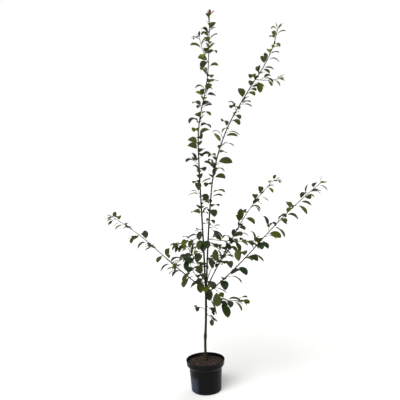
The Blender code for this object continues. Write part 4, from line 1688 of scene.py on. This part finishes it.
class FlatLeaf:
    """The mesh of instructions for one leaf in the making."""

    def __init__(self):
        self.shape = bmesh.new()
        self.blade = self.shape.verts.layers.float_vector.new("blade_place")
        self.stalk = self.shape.verts.layers.float_vector.new("stalk_place")
        self.kind = self.shape.faces.layers.int.new("face_kind")

    def point(self, blade_place, stalk_place=(1, 0, 0)):
        """A point that carries its instructions."""
        along, side, lift = blade_place
        made = self.shape.verts.new((along + stalk_place[0], side, lift))
        made[self.blade] = blade_place
        made[self.stalk] = stalk_place
        return made

    def skin(self, corners, label):
        """A face of one kind."""
        face = self.shape.faces.new(corners)
        face[self.kind] = label
        face.smooth = True

    def stalk_rings(self):
        """The square rings of the stalk, with its foot closed."""
        rings = []
        for share, swell in STALK_RINGS:
            ring = [(share, side * swell, lift * swell) for side, lift in SQUARE]
            rings.append([self.point((0, 0, 0), place) for place in ring])
        self.skin(list(reversed(rings[0])), STALK)
        for near, far in zip(rings, rings[1:]):
            for corner in range(4):
                beside = (corner + 1) % 4
                self.skin((near[corner], near[beside], far[beside], far[corner]), STALK)
        return rings

    def blade_sections(self):
        """The four-cornered sections of the blade: rim, face, rim and rib."""
        sections = []
        for share in STATIONS:
            half = blade_width(share) * BLADE_HALF_WIDTH
            rib = RIB_DEPTH * (1 - RIB_LOST * share)
            corners = ((share, -half, 0), (share, 0, BLADE_SKIN), (share, half, 0), (share, 0, -rib))
            sections.append([self.point(corner) for corner in corners])
        return sections

    def blade_skins(self, start, sections):
        """The faces of both skins, from the stalk's last ring to the tip."""
        for near, far in zip([start] + sections, sections):
            for corner in range(4):
                beside = (corner + 1) % 4
                rim_first = corner % 2 == 0
                split = far[beside] if rim_first else far[corner]
                first = near[corner] if rim_first else near[beside]
                self.skin((near[corner], near[beside], split), LABELS[corner])
                self.skin((first, far[beside], far[corner]), LABELS[corner])
        tip = self.point((1, 0, 0))
        for corner in range(4):
            self.skin((sections[-1][corner], sections[-1][(corner + 1) % 4], tip), LABELS[corner])


def flat_leaf():
    """The finished mesh of instructions, with a sharp rim between its two faces."""
    leaf = FlatLeaf()
    rings = leaf.stalk_rings()
    leaf.blade_skins(rings[-1], leaf.blade_sections())
    for edge in leaf.shape.edges:
        edge.smooth = {face[leaf.kind] for face in edge.link_faces} != {UPPER, UNDER}
    holder = linked("flat_leaf", mesh_of(leaf.shape, "flat_leaf"))
    print("one leaf has", len(holder.data.polygons), "faces")
    return holder


# %% [markdown]
# ## Arching every leaf
#
# The blade's direction at a share of its length is its stalk's direction, pulled down in
# proportion to that share. To find a point we add up short steps in those directions. Eight steps
# are plenty. Then the point moves to its side, and up by the fold and a slight wave of the rim.

# %% The tree that arches leaves
ARCH_STEPS = 8
LEAF_VECTORS = ("root", "way", "level")
LEAF_NUMBERS = ("leaf_length", "stalk_length", "droop", "fold", "phase", "breadth")


def leaf_tree(name, flat, finishes):
    """The tree that copies the flat leaf to its roots and arches each copy."""
    tree = Growth(name, Flat_leaf=flat, Stalk_radius=0.00085, Wave=0.030, Wave_count=11.0)
    leaf = tree.add("GeometryNodeObjectInfo", {"Object": tree.input("Flat_leaf")}, give="Geometry")
    root, way, level = [tree.field(label, "FLOAT_VECTOR") for label in LEAF_VECTORS]
    length, stalk, droop, fold, phase, breadth = [tree.field(label) for label in LEAF_NUMBERS]
    share, side, lift = tree.field("blade_place", "FLOAT_VECTOR").parts()
    stalk_share, stalk_side, stalk_lift = tree.field("stalk_place", "FLOAT_VECTOR").parts()

    def bent(portion):
        """The blade's direction at a portion of the point's own share."""
        pull = droop * share * -portion
        return (way + tree.joined(0.0, 0.0, pull)).step("NORMALIZE")

    run = bent(0.5 / ARCH_STEPS)
    for step in range(1, ARCH_STEPS):
        run = run + bent((step + 0.5) / ARCH_STEPS)
    run = run * (share * length * (1 / ARCH_STEPS))
    end = bent(1.0)
    width = (level - end * level.step("DOT_PRODUCT", end)).step("NORMALIZE")
    up = width.step("CROSS_PRODUCT", end)
    half = side * length * breadth
    out = half + stalk_side * tree.input("Stalk_radius")
    ripple = (share * tree.input("Wave_count") + phase).step("SINE") * tree.input("Wave") * half
    rise = half.step("ABSOLUTE") * fold
    over = rise + ripple + lift * length + stalk_lift * tree.input("Stalk_radius")
    place = root + way * (stalk * stalk_share) + run + width * out + up * over
    arched = tree.moved(tree.copies(tree.mesh, leaf), Position=place)
    kind = tree.field("face_kind", "INT")
    for label, finish in enumerate(finishes):
        chosen = tree.add("FunctionNodeCompare", {0: kind, 1: label}, data_type="INT", operation="EQUAL")
        arched = tree.finish(arched, finish, chosen)
    tree.result = arched
    return tree


# %% [markdown]
# ## Leaf finishes, dealt by spray
#
# The colours of a spray stay plain base colours, one set for each kind of spray: deep green on
# old wood, olive and light green further out, and red-brown for the topmost tuft of the leader.
# The upper face is waxy and has side veins as a fine bump. The underside is paler and dull.

# %% Leaf finishes
VEIN_COUNT = 9.0
VEIN_SLANT = -0.9
QUILT = (420.0, 3.0, 0.6)
FUZZ = (700.0, 2.0, 0.6)
FUZZ_SHINE = 0.06
STALK_SPECK = (800.0, 2.0, 0.5)


def side_vein(finish):
    """How far a point of the blade lies from the nearest side vein."""
    share, side, _ = finish.field("blade_place", "Vector").parts()
    return ((share + side.step("ABSOLUTE") * VEIN_SLANT) * VEIN_COUNT).step("PINGPONG", 0.5)


def upper_finish(name, colour, gloss, shine):
    """The waxy upper face, with side veins pressed in."""
    finish = Finish(name, colour, gloss, shine)
    quilt = finish.place.noise(*QUILT)
    finish.rough(quilt, gloss - 0.07, gloss + 0.10)
    finish.bump(side_vein(finish).between(0.0, 0.16) + quilt * 0.5, 0.30, 0.0006)
    return finish.material


def under_finish(name, colour):
    """The dull underside, where the veins stand out."""
    finish = Finish(name, colour, 0.72, FUZZ_SHINE)
    fuzz = finish.place.noise(*FUZZ)
    finish.rough(fuzz, 0.66, 0.82)
    finish.bump(side_vein(finish).between(0.0, 0.14, 1.0, 0.0) + fuzz * 0.4, 0.36, 0.0006)
    return finish.material


def stalk_finish(name, colour):
    """The stalk: smooth, with a flush of red."""
    finish = Finish(name, colour, 0.5)
    speck = finish.place.noise(*STALK_SPECK)
    finish.rough(speck, 0.42, 0.60)
    finish.bump(speck, 0.3, 0.0003)
    return finish.material


@dataclass
class Spray:
    """The colours of one kind of spray."""

    name: str
    upper: tuple
    under: tuple
    stalk: tuple
    gloss: float
    shine: float


SPRAYS = (
    Spray("leaves_deep", (0.016, 0.030, 0.009), (0.050, 0.062, 0.028), (0.070, 0.045, 0.022), 0.46, 0.15),
    Spray("leaves_green", (0.036, 0.049, 0.007), (0.078, 0.089, 0.028), (0.085, 0.060, 0.024), 0.48, 0.11),
    Spray("leaves_olive", (0.068, 0.077, 0.007), (0.106, 0.115, 0.030), (0.100, 0.080, 0.028), 0.50, 0.07),
    Spray("leaves_light", (0.130, 0.142, 0.012), (0.150, 0.160, 0.038), (0.125, 0.105, 0.034), 0.52, 0.05),
    Spray("leaves_young", (0.150, 0.050, 0.020), (0.190, 0.085, 0.040), (0.160, 0.065, 0.034), 0.48, 0.12),
)
SPRAY_LIMITS = (0.28, 0.62, 0.92)
YOUNG = 4
CROWN_FOOT = 0.75
CROWN_HEIGHT = 1.5
FIRST_YOUTH = 0.08
YOUTH_BY_SHARE = 0.36
YOUTH_BY_HEIGHT = 0.48
YOUTH_SPREAD = 0.25


def deal(shoot, leaf, dice):
    """Which spray a leaf belongs to: lighter and younger towards the tips and the top."""
    if shoot.name == "leader" and leaf.share == 1.0:
        return YOUNG
    height = min(max((leaf.root.z - CROWN_FOOT) / CROWN_HEIGHT, 0.0), 1.0)
    youth = FIRST_YOUTH + YOUTH_BY_SHARE * leaf.share + YOUTH_BY_HEIGHT * height
    youth += dice.gauss(0, YOUTH_SPREAD)
    return sum(youth > limit for limit in SPRAY_LIMITS)


# %% [markdown]
# ## Put the leaves on
#
# Each leaf hands its numbers to one point of a mesh: root, direction, the level line across its
# blade, length, droop, fold. The blade's glossy face is turned to the sky, so a leaf that rolled
# past the upright is read the other way round.

# %% Leaf pieces
COLOUR_SEED = 2
FOLD = (0.10, 0.42)
BREADTH = (0.90, 1.10)


def upward_level(leaf):
    """The line across the blade, pointing so that the upper face looks up."""
    level, up = across(leaf.way)
    turn = Matrix.Rotation(math.radians(leaf.roll), 3, leaf.way)
    level = turn @ level
    return level if (turn @ up).z > 0 else -level


def leaf_points(name, leaves, dice):
    """A mesh with one point for each leaf, carrying its numbers."""
    return points_mesh(
        name, [leaf.root for leaf in leaves],
        root=[leaf.root for leaf in leaves],
        way=[leaf.way for leaf in leaves],
        level=[upward_level(leaf) for leaf in leaves],
        leaf_length=[leaf.length for leaf in leaves],
        stalk_length=[leaf.length * STALK_SHARE + leaf.depth for leaf in leaves],
        droop=[leaf.droop for leaf in leaves],
        fold=[dice.uniform(*FOLD) for leaf in leaves],
        phase=[dice.uniform(0, math.tau) for leaf in leaves],
        breadth=[dice.uniform(*BREADTH) for leaf in leaves],
    )


def drop_instructions(mesh):
    """Removes the numbers that no finish reads."""
    for label in (*LEAF_VECTORS, *LEAF_NUMBERS, "stalk_place"):
        if label in mesh.attributes:
            mesh.attributes.remove(mesh.attributes[label])


dice = random.Random(COLOUR_SEED)
dealt = [[] for spray in SPRAYS]
for shoot, leaf in placed:
    dealt[deal(shoot, leaf, dice)].append(leaf)
flat = flat_leaf()
for spray, leaves in zip(SPRAYS, dealt):
    if not leaves:
        continue
    finishes = (
        upper_finish(spray.name + "_upper", spray.upper, spray.gloss, spray.shine),
        under_finish(spray.name + "_under", spray.under),
        stalk_finish(spray.name + "_stalk", spray.stalk),
    )
    piece = leaf_tree(spray.name, flat, finishes).run(spray.name, leaf_points(spray.name, leaves, dice))
    drop_instructions(piece.data)
    dress(piece, "foliage", *MASSES)
    print(spray.name, len(leaves), "leaves")
bpy.data.objects.remove(flat)

# %% [markdown]
# ## Buds
#
# In the corner of every leaf that stands on a shoot sits a small pointed bud, and a larger one
# ends each shoot. Each is a drop of a few faces, copied to its corner and turned along the stem.

# %% Buds in the corners
BUD_RINGS = ((0.42, 0.0), (0.5, 0.35), (0.26, 0.72))
BUD_SIDES = 6
BUD_LEAN = 0.8
BUD_DEPTH = 1.05
BUD_RISE = 0.0022
BUD_SIZE = 0.0038
END_BUD_SIZE = 0.0050
END_BUD_DEPTH = 0.001
BUD_TONE = (0.060, 0.034, 0.026)
BUD_TONES = ((0.050, 0.028, 0.022), (0.125, 0.080, 0.055))
BUD_CLOUD = (1100.0, 3.0, 0.6)


def drop_shape():
    """A pointed drop one unit long, of a few faces."""
    shape = bmesh.new()
    rings = [ring_of(shape, radius, height, BUD_SIDES) for radius, height in BUD_RINGS]
    shape.faces.new(list(reversed(rings[0])))
    join_rings(shape, rings + [ring_of(shape, 0.0, 1.0, BUD_SIDES)])
    for face in shape.faces:
        face.smooth = True
    return linked("bud", mesh_of(shape, "bud"))


def bud_points():
    """A mesh with one point for each bud, carrying its direction and its size."""
    places = []
    ways = []
    sizes = []
    for shoot, leaf in placed:
        if not leaf.depth:
            continue
        stem = stems[shoot.name]
        growth = stem.way(stem.nearest(leaf.root))
        out = (leaf.way - growth * leaf.way.dot(growth)).normalized()
        places.append(leaf.root + out * leaf.depth * BUD_DEPTH + growth * BUD_RISE)
        ways.append((growth + out * BUD_LEAN).normalized())
        sizes.append(BUD_SIZE)
    for shoot in SHOOTS:
        stem = stems[shoot.name]
        places.append(stem.point(stem.length) - stem.way(stem.length) * END_BUD_DEPTH)
        ways.append(stem.way(stem.length))
        sizes.append(END_BUD_SIZE)
    return points_mesh("bud_places", places, way=ways, size=sizes)


def bud_tree(bud, finish):
    """The tree that copies the drop to its corners."""
    tree = Growth("buds", Bud=bud, Slimness=0.62)
    drop = tree.add("GeometryNodeObjectInfo", {"Object": tree.input("Bud")}, give="Geometry")
    way = {"Vector": tree.field("way", "FLOAT_VECTOR")}
    turn = tree.add("FunctionNodeAlignRotationToVector", way, axis="Z")
    size = tree.field("size")
    slim = size * tree.input("Slimness")
    copies = tree.copies(tree.mesh, drop, Rotation=turn, Scale=tree.joined(slim, slim, size))
    tree.result = tree.finish(copies, finish)
    return tree


def bud_finish():
    """Bud scales: chestnut brown with paler flecks."""
    finish = Finish("bud_scales", BUD_TONE, 0.5)
    cloud = finish.place.noise(*BUD_CLOUD)
    finish.feed("Base Color", finish.mix(cloud.between(0.35, 0.7), *BUD_TONES))
    finish.rough(cloud, 0.42, 0.62)
    finish.bump(cloud, 0.4, 0.0003)
    return finish.material


bud = drop_shape()
buds = bud_tree(bud, bud_finish()).run("buds", bud_points())
bpy.data.objects.remove(bud)
dress(buds, "bark", *MASSES)

# %% [markdown]
# ## Check the size
#
# The dressed tree has to stay in the frame's box. We print how far it reaches past that box on each axis.

# %% Sizes
low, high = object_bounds()
past = [max(cad_low[axis] - low[axis], high[axis] - cad_high[axis]) for axis in range(3)]
print("over the frame by", [round(1000 * metres, 2) for metres in past], "mm")
